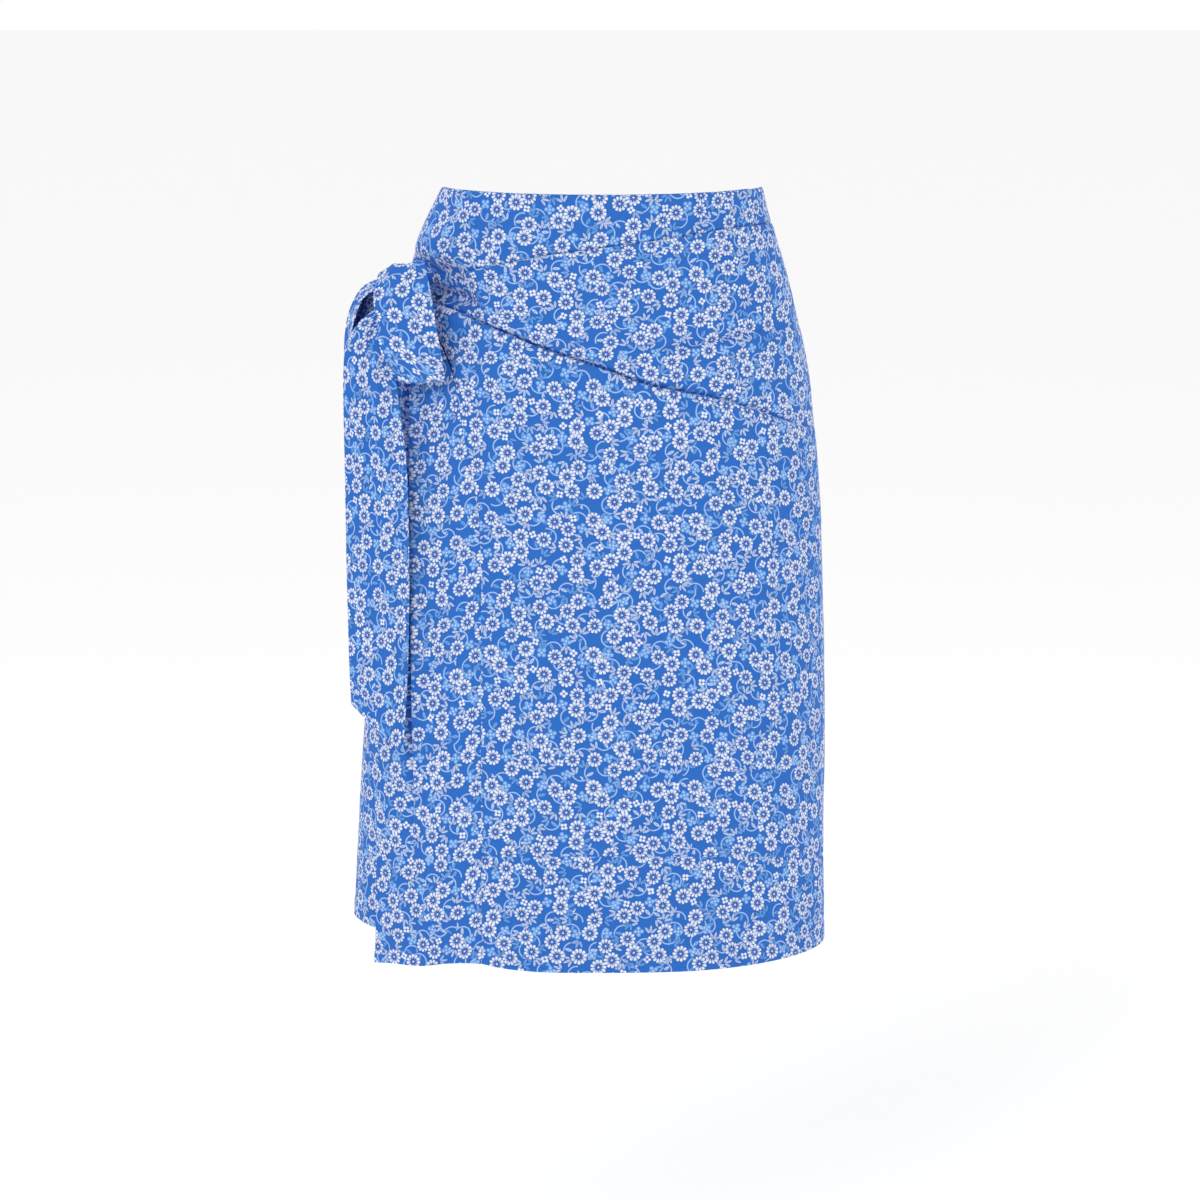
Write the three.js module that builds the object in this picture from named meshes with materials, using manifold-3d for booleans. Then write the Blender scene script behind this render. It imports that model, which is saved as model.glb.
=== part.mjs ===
// Wrap skirt, worn, with its own tie in a bow at one hip.
// Millimetres. +Z is up, the front faces -Y, and the bow is on the -X side.
// The origin is the middle of the waist opening, level with the front of the waist edge.
import * as THREE from 'three';
import { mergeVertices } from 'three/addons/utils/BufferGeometryUtils.js';
import Module from 'manifold-3d';

const wasm = await Module();
wasm.setup();

// Cloth and layers
const CLOTH_WALL = 1.2;
const SEAM_GAP = 0.3;
const LAYER_STEP = 2.0;
const KNOT_GAP = 0.3;
const STRAP_WALL = 1.6;
const SAME_POINT = 1e-4;

// Cut of the skirt. Turns are degrees round the body: 0 is the front, 90 the +X side.
const SIDE_SEAM_TURN = 96;
const SIDE_SEAM_DEPTH = 112;
const UNDER_FLAP_TURN = 70;
const BAND_END_TURN = -84;
const BACK_BAND_DEPTH = 34;
const UNDER_BAND_DEPTH = 40;
const BACK_WAIST_DROP = 20;
const WAIST_DROP_FADE = 250;
const WAIST_DROP_ROUND = 0.02;

// Half sizes of the innermost cloth, at each distance down from the waist
const SECTIONS = [
  { down: 0, left: 131, right: 130.5, front: 92, back: 93 },
  { down: 30, left: 145, right: 137.5, front: 96, back: 99 },
  { down: 65, left: 158, right: 149, front: 101, back: 107 },
  { down: 100, left: 165, right: 158, front: 106, back: 114 },
  { down: 150, left: 173, right: 169, front: 112, back: 121 },
  { down: 200, left: 180.5, right: 175, front: 116, back: 125 },
  { down: 270, left: 188, right: 181, front: 119, back: 127 },
  { down: 350, left: 194, right: 184, front: 120.5, back: 127 },
  { down: 450, left: 200.5, right: 186.5, front: 121, back: 126 },
  { down: 550, left: 207, right: 186, front: 121.5, back: 124.5 },
  { down: 645, left: 212, right: 187.5, front: 122, back: 124 },
];

// Lower edge of the front waistband, deeper toward the knot
const BAND_EDGE = [
  { turn: -84, down: 42 },
  { turn: -76, down: 64 },
  { turn: -68, down: 84 },
  { turn: -61, down: 87 },
  { turn: -54, down: 80 },
  { turn: -43, down: 64.5 },
  { turn: -31, down: 57 },
  { turn: -16, down: 48.5 },
  { turn: 0, down: 42.5 },
  { turn: 18, down: 37 },
  { turn: 30, down: 34 },
  { turn: 41, down: 31 },
  { turn: 55, down: 29.5 },
  { turn: 96, down: 31 },
];

// Diagonal fold that runs from the knot across the hip, and how far its lower edge stands out
const FOLD = [
  { turn: -64, down: 94, lift: 4.6 },
  { turn: -54, down: 97.5, lift: 5.0 },
  { turn: -45, down: 101.5, lift: 5.0 },
  { turn: -29, down: 114.5, lift: 4.2 },
  { turn: -13, down: 130, lift: 3.6 },
  { turn: 0, down: 142, lift: 3.2 },
  { turn: 12, down: 155, lift: 3.0 },
  { turn: 20, down: 160, lift: 2.4 },
  { turn: 33, down: 168, lift: 1.8 },
  { turn: 45, down: 178, lift: 1.5 },
  { turn: 64, down: 194, lift: 1.1 },
  { turn: 80, down: 203, lift: 0.6 },
  { turn: 96, down: 210, lift: 0 },
];

// Small tuck above it on the +X side
const TUCK = [
  { turn: -64, down: 90.5, lift: 0 },
  { turn: -45, down: 88, lift: 0 },
  { turn: -29, down: 95, lift: 0 },
  { turn: -10, down: 112, lift: 0.2 },
  { turn: 10, down: 125, lift: 0.9 },
  { turn: 25, down: 125, lift: 1.5 },
  { turn: 45, down: 118, lift: 1.5 },
  { turn: 60, down: 116.5, lift: 1.2 },
  { turn: 78, down: 118, lift: 0.6 },
  { turn: 96, down: 120, lift: 0 },
];

// Where the vertical seam and the flap's free edge lie across the front
const EDGE_LINES = [
  { down: 88, seam: -143, free: -153 },
  { down: 120, seam: -133, free: -158 },
  { down: 146, seam: -122.5, free: -163 },
  { down: 180, seam: -116.5, free: -168 },
  { down: 220, seam: -109, free: -173 },
  { down: 260, seam: -101.5, free: -177 },
  { down: 290, seam: -99.8, free: -179.5 },
  { down: 350, seam: -99.6, free: -183 },
  { down: 470, seam: -100, free: -186.6 },
  { down: 652, seam: -100, free: -188.5 },
];

// Hem of the outer flap, and the level seam above it
const FLAP_HEM = [
  { turn: -62, down: 652 },
  { turn: -54, down: 649 },
  { turn: -45, down: 647.5 },
  { turn: -36, down: 642 },
  { turn: -28, down: 640 },
  { turn: -23, down: 642.4 },
  { turn: -14, down: 644 },
  { turn: 3, down: 643.8 },
  { turn: 31, down: 645 },
  { turn: 57, down: 644.5 },
  { turn: 96, down: 643 },
];
const HEM_SEAM = [
  { turn: -30, down: 548.8 },
  { turn: -14, down: 546 },
  { turn: 0, down: 545 },
  { turn: 15, down: 546 },
  { turn: 37, down: 551 },
  { turn: 56, down: 558.4 },
  { turn: 72, down: 566.7 },
  { turn: 96, down: 573 },
];
const UNDER_HEM = [
  { turn: -96, down: 622 },
  { turn: -62, down: 624 },
  { turn: 0, down: 632 },
  { turn: 70, down: 634 },
];
const BACK_HEM = [
  { turn: 96, down: 643 },
  { turn: 140, down: 641 },
  { turn: 180, down: 638 },
  { turn: 225, down: 629 },
  { turn: 264, down: 622 },
];

// Soft drag folds at the back, from the waist seam down over the hip
const BACK_FOLDS = [
  { turn: 118, lean: 4, down: 70, length: 110, lift: 1.6 },
  { turn: 139, lean: 6, down: 90, length: 150, lift: 2.2 },
  { turn: 163, lean: 9, down: 78, length: 120, lift: 1.5 },
  { turn: 192, lean: 12, down: 84, length: 140, lift: 2.0 },
  { turn: 214, lean: 15, down: 92, length: 170, lift: 2.6 },
  { turn: 238, lean: 14, down: 96, length: 130, lift: 2.2 },
];
const BACK_FOLD_WIDE = 5;
const BACK_FOLD_TAPER = 4;

// Shape of a fold's lower edge, and of the skirt's roll below the waistband
const FOLD_STEP_ABOVE = 3;
const FOLD_STEP_BELOW = 1.5;
const FOLD_SETTLE = 30;
const WAIST_ROLL = 1.6;
const WAIST_ROLL_SETTLE = 10;

// The flap's loose corner stands off the layer below
const CORNER_LIFT = 3.5;
const CORNER_START = 420;
const CORNER_REACH = 230;
const CORNER_WIDE = 13;
const CORNER_TURN = -66;

// Knot at the hip
const KNOT = { x: -165.2, y: -48.1, z: -78, across: 13, outward: 14, tall: 15 };
const KNOT_FACING = 212;
const KNOT_WRAPS = 3;
const KNOT_WRAP_DEPTH = 1.1;
const KNOT_WRAP_LEAN = { z: 1.4, y: 0.5 };
const KNOT_MESH = { around: 18, tall: 12 };

// Straps, each row its two edges, from the knot outward
const FRONT_LOOP = [
  { lx: -173, ly: -50, lz: -74, rx: -158, ry: -53, rz: -72, bulge: 0 },
  { lx: -179, ly: -57, lz: -65.5, rx: -147, ry: -66, rz: -58, bulge: 1 },
  { lx: -184, ly: -71, lz: -68, rx: -145, ry: -80, rz: -58, bulge: 2 },
  { lx: -187, ly: -86, lz: -84, rx: -140, ry: -97, rz: -77, bulge: 3 },
  { lx: -184, ly: -91, lz: -106, rx: -135.5, ry: -102, rz: -104, bulge: 3 },
  { lx: -180.5, ly: -92, lz: -130, rx: -131, ry: -103, rz: -130, bulge: 3 },
  { lx: -168, ly: -92, lz: -149, rx: -128.5, ry: -101, rz: -146, bulge: 2 },
  { lx: -166.5, ly: -88, lz: -154, rx: -128.5, ry: -96, rz: -150.5, bulge: 1 },
  { lx: -169, ly: -84.5, lz: -149, rx: -130, ry: -91, rz: -146, bulge: 0 },
  { lx: -173, ly: -83.5, lz: -128, rx: -135, ry: -89, rz: -126, bulge: 0 },
  { lx: -170, ly: -80, lz: -106, rx: -145, ry: -84, rz: -103, bulge: 0 },
  { lx: -166, ly: -60, lz: -84, rx: -157, ry: -60, rz: -83, bulge: 0 },
];
const BACK_LOOP = [
  { lx: -173, ly: -42, lz: -80, rx: -172, ry: -52, rz: -78, bulge: 0 },
  { lx: -185, ly: -31, lz: -75, rx: -180, ry: -58, rz: -79, bulge: 1 },
  { lx: -198, ly: -25, lz: -83, rx: -190, ry: -61, rz: -93, bulge: 1.5 },
  { lx: -207.5, ly: -19, lz: -101, rx: -200, ry: -61, rz: -110, bulge: 2 },
  { lx: -212, ly: -16, lz: -124, rx: -208, ry: -59, rz: -131, bulge: 2 },
  { lx: -212.5, ly: -14, lz: -151, rx: -211, ry: -56, rz: -154, bulge: 1.5 },
  { lx: -204, ly: -12, lz: -176, rx: -207, ry: -54, rz: -173, bulge: 0.5 },
  { lx: -197, ly: -13, lz: -172, rx: -199, ry: -54, rz: -169, bulge: 0 },
  { lx: -191, ly: -16, lz: -152, rx: -193, ry: -54, rz: -148, bulge: 0 },
  { lx: -185, ly: -22, lz: -124, rx: -187, ry: -51, rz: -120, bulge: 0 },
  { lx: -180, ly: -34, lz: -100, rx: -180, ry: -50, rz: -97, bulge: 0 },
  { lx: -172, ly: -43, lz: -86, rx: -171, ry: -49, rz: -84, bulge: 0 },
];
const FRONT_TAIL = [
  { lx: -176, ly: -56, lz: -83, rx: -164, ry: -58, rz: -88, bulge: 0 },
  { lx: -190, ly: -69, lz: -92, rx: -170, ry: -70, rz: -102, bulge: 1 },
  { lx: -202, ly: -70, lz: -104, rx: -169, ry: -74, rz: -120, bulge: 2 },
  { lx: -211, ly: -68, lz: -124, rx: -170, ry: -77, rz: -142, bulge: 2.5 },
  { lx: -213.5, ly: -66, lz: -155, rx: -168, ry: -79, rz: -166, bulge: 3 },
  { lx: -213, ly: -66, lz: -225, rx: -161, ry: -83, rz: -225, bulge: 3.5 },
  { lx: -212.3, ly: -66, lz: -308, rx: -159.4, ry: -84.5, rz: -308, bulge: 2.5 },
  { lx: -211, ly: -66, lz: -389, rx: -161, ry: -85, rz: -389, bulge: 3 },
  { lx: -209.5, ly: -66, lz: -428, rx: -165.8, ry: -85, rz: -465, bulge: 2 },
];
const BACK_TAIL = [
  { lx: -173, ly: -52, lz: -87, rx: -165, ry: -53, rz: -90, bulge: 0 },
  { lx: -188, ly: -63, lz: -112, rx: -172, ry: -67, rz: -120, bulge: 0 },
  { lx: -202, ly: -62, lz: -142, rx: -166, ry: -73.5, rz: -150, bulge: 1 },
  { lx: -206, ly: -61, lz: -225, rx: -159, ry: -77, rz: -225, bulge: 1.5 },
  { lx: -205, ly: -61, lz: -308, rx: -157.5, ry: -78.5, rz: -308, bulge: 1 },
  { lx: -204, ly: -61, lz: -370, rx: -160.5, ry: -79.5, rz: -375, bulge: 1.5 },
  { lx: -203, ly: -61, lz: -386, rx: -163, ry: -79, rz: -412, bulge: 1 },
];

// Pale blue printed cotton, one tint for each group of pieces
const COLOURS = { panel: 0x7ea0d8, band: 0x86a8dc, tie: 0x749ad6 };

function cottonOf(colour) {
  return new THREE.MeshStandardMaterial({ color: colour, roughness: 0.85, metalness: 0 });
}

// Smooth curve through a table's column, with the slope at each row taken from its neighbours
function tableValue(table, key, column, at) {
  const last = table.length - 1;
  if (at <= table[0][key]) return table[0][column];
  if (at >= table[last][key]) return table[last][column];
  let row = 0;
  while (at > table[row + 1][key]) row += 1;
  const slope = (index) => {
    const before = table[Math.max(index - 1, 0)];
    const after = table[Math.min(index + 1, last)];
    return (after[column] - before[column]) / (after[key] - before[key]);
  };
  const start = table[row];
  const end = table[row + 1];
  const span = end[key] - start[key];
  const t = (at - start[key]) / span;
  const t2 = t * t;
  const t3 = t2 * t;
  return (2 * t3 - 3 * t2 + 1) * start[column] + (t3 - 2 * t2 + t) * span * slope(row)
    + (3 * t2 - 2 * t3) * end[column] + (t3 - t2) * span * slope(row + 1);
}

const mix = (a, b, t) => a + (b - a) * t;

function smoothStep(from, to, value) {
  const t = Math.min(Math.max((value - from) / (to - from), 0), 1);
  return t * t * (3 - 2 * t);
}

// The waist edge sinks toward the back, and the sinking fades out below the hip
function waistDrop(turn, down) {
  const behind = -Math.cos(THREE.MathUtils.degToRad(turn));
  const rounded = (Math.sqrt(behind * behind + WAIST_DROP_ROUND) + behind) / 2;
  return BACK_WAIST_DROP * rounded * Math.max(0, 1 - down / WAIST_DROP_FADE);
}

// A point on the skirt: how far round, how far down, and how far out from the innermost cloth
function skirtPoint(turn, down, out) {
  const angle = THREE.MathUtils.degToRad(turn);
  const across = Math.sin(angle) > 0 ? 'right' : 'left';
  const depth = Math.cos(angle) > 0 ? 'front' : 'back';
  const halfWidth = tableValue(SECTIONS, 'down', across, down) + out;
  const halfDepth = tableValue(SECTIONS, 'down', depth, down) + out;
  return new THREE.Vector3(
    halfWidth * Math.sin(angle),
    -halfDepth * Math.cos(angle),
    -down - waistDrop(turn, down),
  );
}

// Turn at which the front lies a given distance across from the middle
function turnAt(across, down) {
  const halfWidth = tableValue(SECTIONS, 'down', 'left', down) + LAYER_STEP;
  return THREE.MathUtils.radToDeg(Math.asin(Math.max(across / halfWidth, -1)));
}

// A fold's lower cloth stands out at its line and settles again below it
function foldEdge(below) {
  const rise = smoothStep(-FOLD_STEP_ABOVE, FOLD_STEP_BELOW, below);
  return rise * Math.exp(-Math.max(below - FOLD_STEP_BELOW, 0) / FOLD_SETTLE);
}

function frontRelief(turn, down) {
  const belowFold = down - tableValue(FOLD, 'turn', 'down', turn);
  const belowTuck = down - tableValue(TUCK, 'turn', 'down', turn);
  const belowBand = Math.max(down - tableValue(BAND_EDGE, 'turn', 'down', turn), 0);
  const cornerDown = Math.max(down - CORNER_START, 0) / CORNER_REACH;
  const cornerAcross = Math.exp(-Math.max(turn - CORNER_TURN, 0) / CORNER_WIDE);
  return tableValue(FOLD, 'turn', 'lift', turn) * foldEdge(belowFold)
    + tableValue(TUCK, 'turn', 'lift', turn) * foldEdge(belowTuck)
    + WAIST_ROLL * Math.exp(-belowBand / WAIST_ROLL_SETTLE)
    + CORNER_LIFT * cornerDown * cornerDown * cornerAcross;
}

function backRelief(turn, down) {
  let relief = 0;
  for (const fold of BACK_FOLDS) {
    const along = (down - fold.down) / fold.length;
    const middle = fold.turn + fold.lean * along;
    const side = (turn - middle) / BACK_FOLD_WIDE;
    relief += fold.lift * Math.exp(-side * side - along * along * BACK_FOLD_TAPER);
  }
  return relief;
}

// The back changes from the outer layer at the +X seam to the inner layer at the other one
function backLayer(turn) {
  return LAYER_STEP * (1 - smoothStep(SIDE_SEAM_TURN, 360 - SIDE_SEAM_TURN, turn));
}

// Closed wall between an outer and an inner grid of points
function wallGeometry(columns, rows, outerAt, innerAt) {
  const positions = [];
  const across = columns + 1;
  const layer = across * (rows + 1);
  for (const pointAt of [outerAt, innerAt]) {
    for (let row = 0; row <= rows; row += 1) {
      for (let column = 0; column <= columns; column += 1) {
        positions.push(...pointAt(column / columns, row).toArray());
      }
    }
  }
  const faces = [];
  const quad = (a, b, c, d) => faces.push(a, b, c, a, c, d);
  for (let row = 0; row < rows; row += 1) {
    for (let column = 0; column < columns; column += 1) {
      const a = row * across + column;
      quad(a, a + across, a + across + 1, a + 1);
      quad(layer + a, layer + a + 1, layer + a + across + 1, layer + a + across);
    }
  }
  for (let column = 0; column < columns; column += 1) {
    const low = rows * across + column;
    quad(column, column + 1, layer + column + 1, layer + column);
    quad(low, layer + low, layer + low + 1, low + 1);
  }
  for (let row = 0; row < rows; row += 1) {
    const left = row * across;
    const right = left + columns;
    quad(left, layer + left, layer + left + across, left + across);
    quad(right, right + across, layer + right + across, layer + right);
  }
  const geometry = new THREE.BufferGeometry();
  geometry.setAttribute('position', new THREE.Float32BufferAttribute(positions, 3));
  geometry.setIndex(faces);
  return pointOutward(geometry);
}

// Faces are turned over where a wall's first and last columns run the other way round
function pointOutward(geometry) {
  const position = geometry.getAttribute('position');
  const index = geometry.getIndex().array;
  const [a, b, c] = [new THREE.Vector3(), new THREE.Vector3(), new THREE.Vector3()];
  let volume = 0;
  for (let i = 0; i < index.length; i += 3) {
    a.fromBufferAttribute(position, index[i]);
    b.fromBufferAttribute(position, index[i + 1]);
    c.fromBufferAttribute(position, index[i + 2]);
    volume += a.dot(b.cross(c));
  }
  if (volume < 0) {
    for (let i = 0; i < index.length; i += 3) {
      [index[i + 1], index[i + 2]] = [index[i + 2], index[i + 1]];
    }
  }
  return geometry;
}

function meshOf(name, geometry, colour) {
  const mesh = new THREE.Mesh(geometry, cottonOf(colour));
  mesh.name = name;
  return mesh;
}

// A piece of the skirt. turnsAt gives its two side edges at a height, rowsAt the heights at a turn.
// Both are settled from a first guess at the skirt's middle height.
const MIDDLE_DOWN = 300;

function skirtPiece(name, colour, columns, rowCount, turnsAt, rowsAt, layerAt, reliefAt) {
  const pointAt = (extra) => (u, row) => {
    let down = rowsAt(mix(...turnsAt(MIDDLE_DOWN), u))[row];
    let turn = mix(...turnsAt(down), u);
    down = rowsAt(turn)[row];
    turn = mix(...turnsAt(down), u);
    const out = layerAt(turn) + reliefAt(turn, down) + extra;
    return skirtPoint(turn, down, out);
  };
  return meshOf(name, wallGeometry(columns, rowCount, pointAt(CLOTH_WALL), pointAt(0)), colour);
}

// How many wall quads each piece has across and down
const FRONT_COLUMNS = 26;
const EDGE_BAND_COLUMNS = 6;
const BACK_COLUMNS = 32;
const BACK_ROWS = 16;
const FRONT_BAND_COLUMNS = 34;
const FRONT_BAND_ROWS = 4;
const PLAIN_BAND_ROWS = 2;
const HEM_BAND_ROWS = 4;

// Even rows between two heights
function evenRows(top, bottom, count) {
  return Array.from({ length: count + 1 }, (_, row) => mix(top, bottom, row / count));
}

const flat = () => 0;
const outerLayer = () => LAYER_STEP;
const innerLayer = () => 0;
const halfGap = SEAM_GAP / 2;
const seamTurn = THREE.MathUtils.radToDeg(halfGap / SIDE_SEAM_DEPTH);
const rightSeam = SIDE_SEAM_TURN - seamTurn;
const leftSeam = -rightSeam;
const backSeams = () => [SIDE_SEAM_TURN + seamTurn, 360 - SIDE_SEAM_TURN - seamTurn];
const underSides = () => [leftSeam, UNDER_FLAP_TURN];
const seamLine = (down) => tableValue(EDGE_LINES, 'down', 'seam', down);
const freeLine = (down) => tableValue(EDGE_LINES, 'down', 'free', down);
const bandEdge = (turn) => tableValue(BAND_EDGE, 'turn', 'down', turn);
const hemSeam = (turn) => tableValue(HEM_SEAM, 'turn', 'down', turn);

// Rows of the front panel follow the waist seam, the tuck, the fold and the hem seam. Where two of
// these lines run close together, the rows beside them keep to a share of the room between them.
const SEAM_ROW_STEP = 4;
const SEAM_ROOM_SHARE = 0.25;
const FOLD_ROOM_SHARE = 0.2;
const ABOVE_TUCK_ROW = 0.6;
const BETWEEN_FOLD_ROWS = [0.35, 0.7];
const BELOW_FOLD_ROWS = [FOLD_STEP_BELOW, 10, 24];
const FOLD_REACH = 44;
const SKIRT_ROWS = 12;

function frontRows(turn) {
  const top = bandEdge(turn) + halfGap;
  const tuck = tableValue(TUCK, 'turn', 'down', turn);
  const fold = tableValue(FOLD, 'turn', 'down', turn);
  const bottom = hemSeam(turn) - halfGap;
  const belowSeam = Math.min((tuck - top) * SEAM_ROOM_SHARE, SEAM_ROW_STEP);
  const nearFold = Math.min((fold - tuck) * FOLD_ROOM_SHARE, FOLD_STEP_ABOVE);
  const belowTuck = tuck + nearFold / 2;
  const aboveFold = fold - nearFold;
  return [
    top,
    top + belowSeam,
    mix(top, tuck, ABOVE_TUCK_ROW),
    tuck - belowSeam / 2,
    belowTuck,
    ...BETWEEN_FOLD_ROWS.map((share) => mix(belowTuck, aboveFold, share)),
    aboveFold,
    ...BELOW_FOLD_ROWS.map((below) => fold + below),
    ...evenRows(fold + FOLD_REACH, bottom, SKIRT_ROWS),
  ];
}
const FRONT_ROW_COUNT = frontRows(0).length - 1;

function hemBandRows(turn) {
  return evenRows(hemSeam(turn) + halfGap, tableValue(FLAP_HEM, 'turn', 'down', turn),
    HEM_BAND_ROWS);
}

// The edge band has no seam across it, and its rows run on through the hem band's
function edgeBandRows(turn) {
  return [...frontRows(turn), ...hemBandRows(turn).slice(1)];
}

function frontPanel() {
  const edges = (down) => [turnAt(seamLine(down) + halfGap, down), rightSeam];
  return skirtPiece('front_panel', COLOURS.panel, FRONT_COLUMNS, FRONT_ROW_COUNT, edges, frontRows,
    outerLayer, frontRelief);
}

function frontEdgeBand() {
  const edges = (down) => [
    turnAt(freeLine(down), down),
    turnAt(seamLine(down) - halfGap, down),
  ];
  return skirtPiece('front_edge_band', COLOURS.band, EDGE_BAND_COLUMNS,
    FRONT_ROW_COUNT + HEM_BAND_ROWS, edges, edgeBandRows, outerLayer, frontRelief);
}

function frontHemBand() {
  const edges = (down) => [turnAt(seamLine(down) + halfGap, down), rightSeam];
  return skirtPiece('front_hem_band', COLOURS.band, FRONT_COLUMNS, HEM_BAND_ROWS,
    edges, hemBandRows, outerLayer, frontRelief);
}

function underFrontPanel() {
  const rows = (turn) => evenRows(
    UNDER_BAND_DEPTH + SEAM_GAP,
    tableValue(UNDER_HEM, 'turn', 'down', turn), SKIRT_ROWS);
  return skirtPiece('under_front_panel', COLOURS.panel, FRONT_COLUMNS, SKIRT_ROWS,
    underSides, rows, innerLayer, flat);
}

function backPanel() {
  const rows = (turn) => evenRows(
    BACK_BAND_DEPTH + SEAM_GAP, tableValue(BACK_HEM, 'turn', 'down', turn), BACK_ROWS);
  return skirtPiece('back_panel', COLOURS.panel, BACK_COLUMNS, BACK_ROWS, backSeams, rows,
    backLayer, backRelief);
}

function waistbandFront() {
  const rows = (turn) => evenRows(0, bandEdge(turn) - halfGap, FRONT_BAND_ROWS);
  return skirtPiece('waistband_front', COLOURS.band, FRONT_BAND_COLUMNS, FRONT_BAND_ROWS,
    () => [BAND_END_TURN, rightSeam], rows, outerLayer, flat);
}

function waistbandUnder() {
  const rows = () => evenRows(0, UNDER_BAND_DEPTH, PLAIN_BAND_ROWS);
  return skirtPiece('waistband_under', COLOURS.band, FRONT_COLUMNS, PLAIN_BAND_ROWS,
    underSides, rows, innerLayer, flat);
}

function waistbandBack() {
  const rows = () => evenRows(0, BACK_BAND_DEPTH, PLAIN_BAND_ROWS);
  return skirtPiece('waistband_back', COLOURS.band, BACK_COLUMNS, PLAIN_BAND_ROWS,
    backSeams, rows, backLayer, flat);
}

// The knot: a short barrel with the strap's turns showing as soft ridges
function knotGeometry(extra) {
  const geometry = new THREE.SphereGeometry(1, KNOT_MESH.around, KNOT_MESH.tall);
  geometry.deleteAttribute('normal');
  geometry.deleteAttribute('uv');
  const merged = mergeVertices(geometry, SAME_POINT);
  const position = merged.getAttribute('position');
  const facing = new THREE.Matrix4().makeRotationZ(THREE.MathUtils.degToRad(KNOT_FACING));
  const point = new THREE.Vector3();
  for (let i = 0; i < position.count; i += 1) {
    point.fromBufferAttribute(position, i);
    const wound = point.z * KNOT_WRAP_LEAN.z + point.y * KNOT_WRAP_LEAN.y;
    const wrap = Math.cos(wound * Math.PI * KNOT_WRAPS / 2);
    const grow = extra + KNOT_WRAP_DEPTH * wrap;
    point.set(
      point.x * (KNOT.outward + grow),
      point.y * (KNOT.across + grow),
      point.z * (KNOT.tall + grow),
    );
    point.applyMatrix4(facing);
    position.setXYZ(i, point.x + KNOT.x, point.y + KNOT.y, point.z + KNOT.z);
  }
  return merged;
}

function solidOf(geometry) {
  const merged = mergeVertices(geometry, SAME_POINT);
  return new wasm.Manifold(new wasm.Mesh({
    numProp: 3,
    vertProperties: new Float32Array(merged.getAttribute('position').array),
    triVerts: new Uint32Array(merged.getIndex().array),
  }));
}

function geometryOf(solid) {
  const mesh = solid.getMesh();
  const geometry = new THREE.BufferGeometry();
  geometry.setAttribute('position', new THREE.Float32BufferAttribute(mesh.vertProperties, 3));
  geometry.setIndex(Array.from(mesh.triVerts));
  return geometry;
}

// A strap follows its table's two edges, and stops where it meets the knot
const STRAP_COLUMNS = 5;
const STRAP_STEPS = 2;

function strapGeometry(table) {
  const rows = (table.length - 1) * STRAP_STEPS;
  const edge = (x, y, z) => new THREE.CatmullRomCurve3(
    table.map((row) => new THREE.Vector3(row[x], row[y], row[z])));
  const left = edge('lx', 'ly', 'lz');
  const right = edge('rx', 'ry', 'rz');
  const step = 0.5 / rows;
  const pointAt = (side) => (u, row) => {
    const t = row / rows;
    const before = Math.max(t - step, 0);
    const after = Math.min(t + step, 1);
    const start = left.getPoint(t);
    const width = right.getPoint(t).sub(start);
    const along = left.getPoint(after).add(right.getPoint(after))
      .sub(left.getPoint(before)).sub(right.getPoint(before));
    const outward = width.clone().cross(along).normalize();
    const place = t * (table.length - 1);
    const index = Math.min(Math.floor(place), table.length - 2);
    const bulge = mix(table[index].bulge, table[index + 1].bulge, place - index);
    const out = bulge * Math.sin(u * Math.PI) + side * STRAP_WALL / 2;
    return start.addScaledVector(width, u).addScaledVector(outward, -out);
  };
  return wallGeometry(STRAP_COLUMNS, rows, pointAt(1), pointAt(-1));
}

function strapPiece(name, table) {
  const trimmed = solidOf(strapGeometry(table)).subtract(solidOf(knotGeometry(KNOT_GAP)));
  const bodies = trimmed.decompose();
  bodies.sort((a, b) => b.volume() - a.volume());
  return meshOf(name, geometryOf(bodies[0]), COLOURS.tie);
}

const skirt = new THREE.Group();
skirt.add(
  backPanel(),
  underFrontPanel(),
  frontPanel(),
  frontEdgeBand(),
  frontHemBand(),
  waistbandFront(),
  waistbandUnder(),
  waistbandBack(),
  meshOf('tie_knot', knotGeometry(0), COLOURS.tie),
  strapPiece('tie_front_loop', FRONT_LOOP),
  strapPiece('tie_back_loop', BACK_LOOP),
  strapPiece('tie_front_tail', FRONT_TAIL),
  strapPiece('tie_back_tail', BACK_TAIL),
);

export default skirt;
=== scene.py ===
"""Wrap skirt in small-flower printed cotton, worn, with its own tie in a bow at one hip."""

import math

import bpy
import numpy as np
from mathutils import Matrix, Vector


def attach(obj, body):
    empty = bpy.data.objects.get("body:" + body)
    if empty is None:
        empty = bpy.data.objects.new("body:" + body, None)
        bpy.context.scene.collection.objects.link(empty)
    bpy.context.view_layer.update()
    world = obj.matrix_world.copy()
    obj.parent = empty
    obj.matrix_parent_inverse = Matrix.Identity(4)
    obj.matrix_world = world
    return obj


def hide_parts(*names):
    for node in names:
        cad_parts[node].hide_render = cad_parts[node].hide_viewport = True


bl_info = {
    "name": "Wrap Skirt",
    "version": (1, 0, 0),
    "blender": (4, 5, 0),
    "location": "3D View > Sidebar > Skirt",
    "description": "Cloth, print, sewing and stage for a worn wrap skirt",
    "category": "Object",
}

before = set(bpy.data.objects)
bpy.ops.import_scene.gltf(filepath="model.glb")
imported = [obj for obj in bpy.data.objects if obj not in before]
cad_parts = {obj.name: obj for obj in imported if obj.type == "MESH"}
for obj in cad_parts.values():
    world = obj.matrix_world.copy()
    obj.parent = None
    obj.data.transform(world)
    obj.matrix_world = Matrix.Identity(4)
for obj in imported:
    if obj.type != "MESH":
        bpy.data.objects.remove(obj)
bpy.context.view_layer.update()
MM = 0.001

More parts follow.
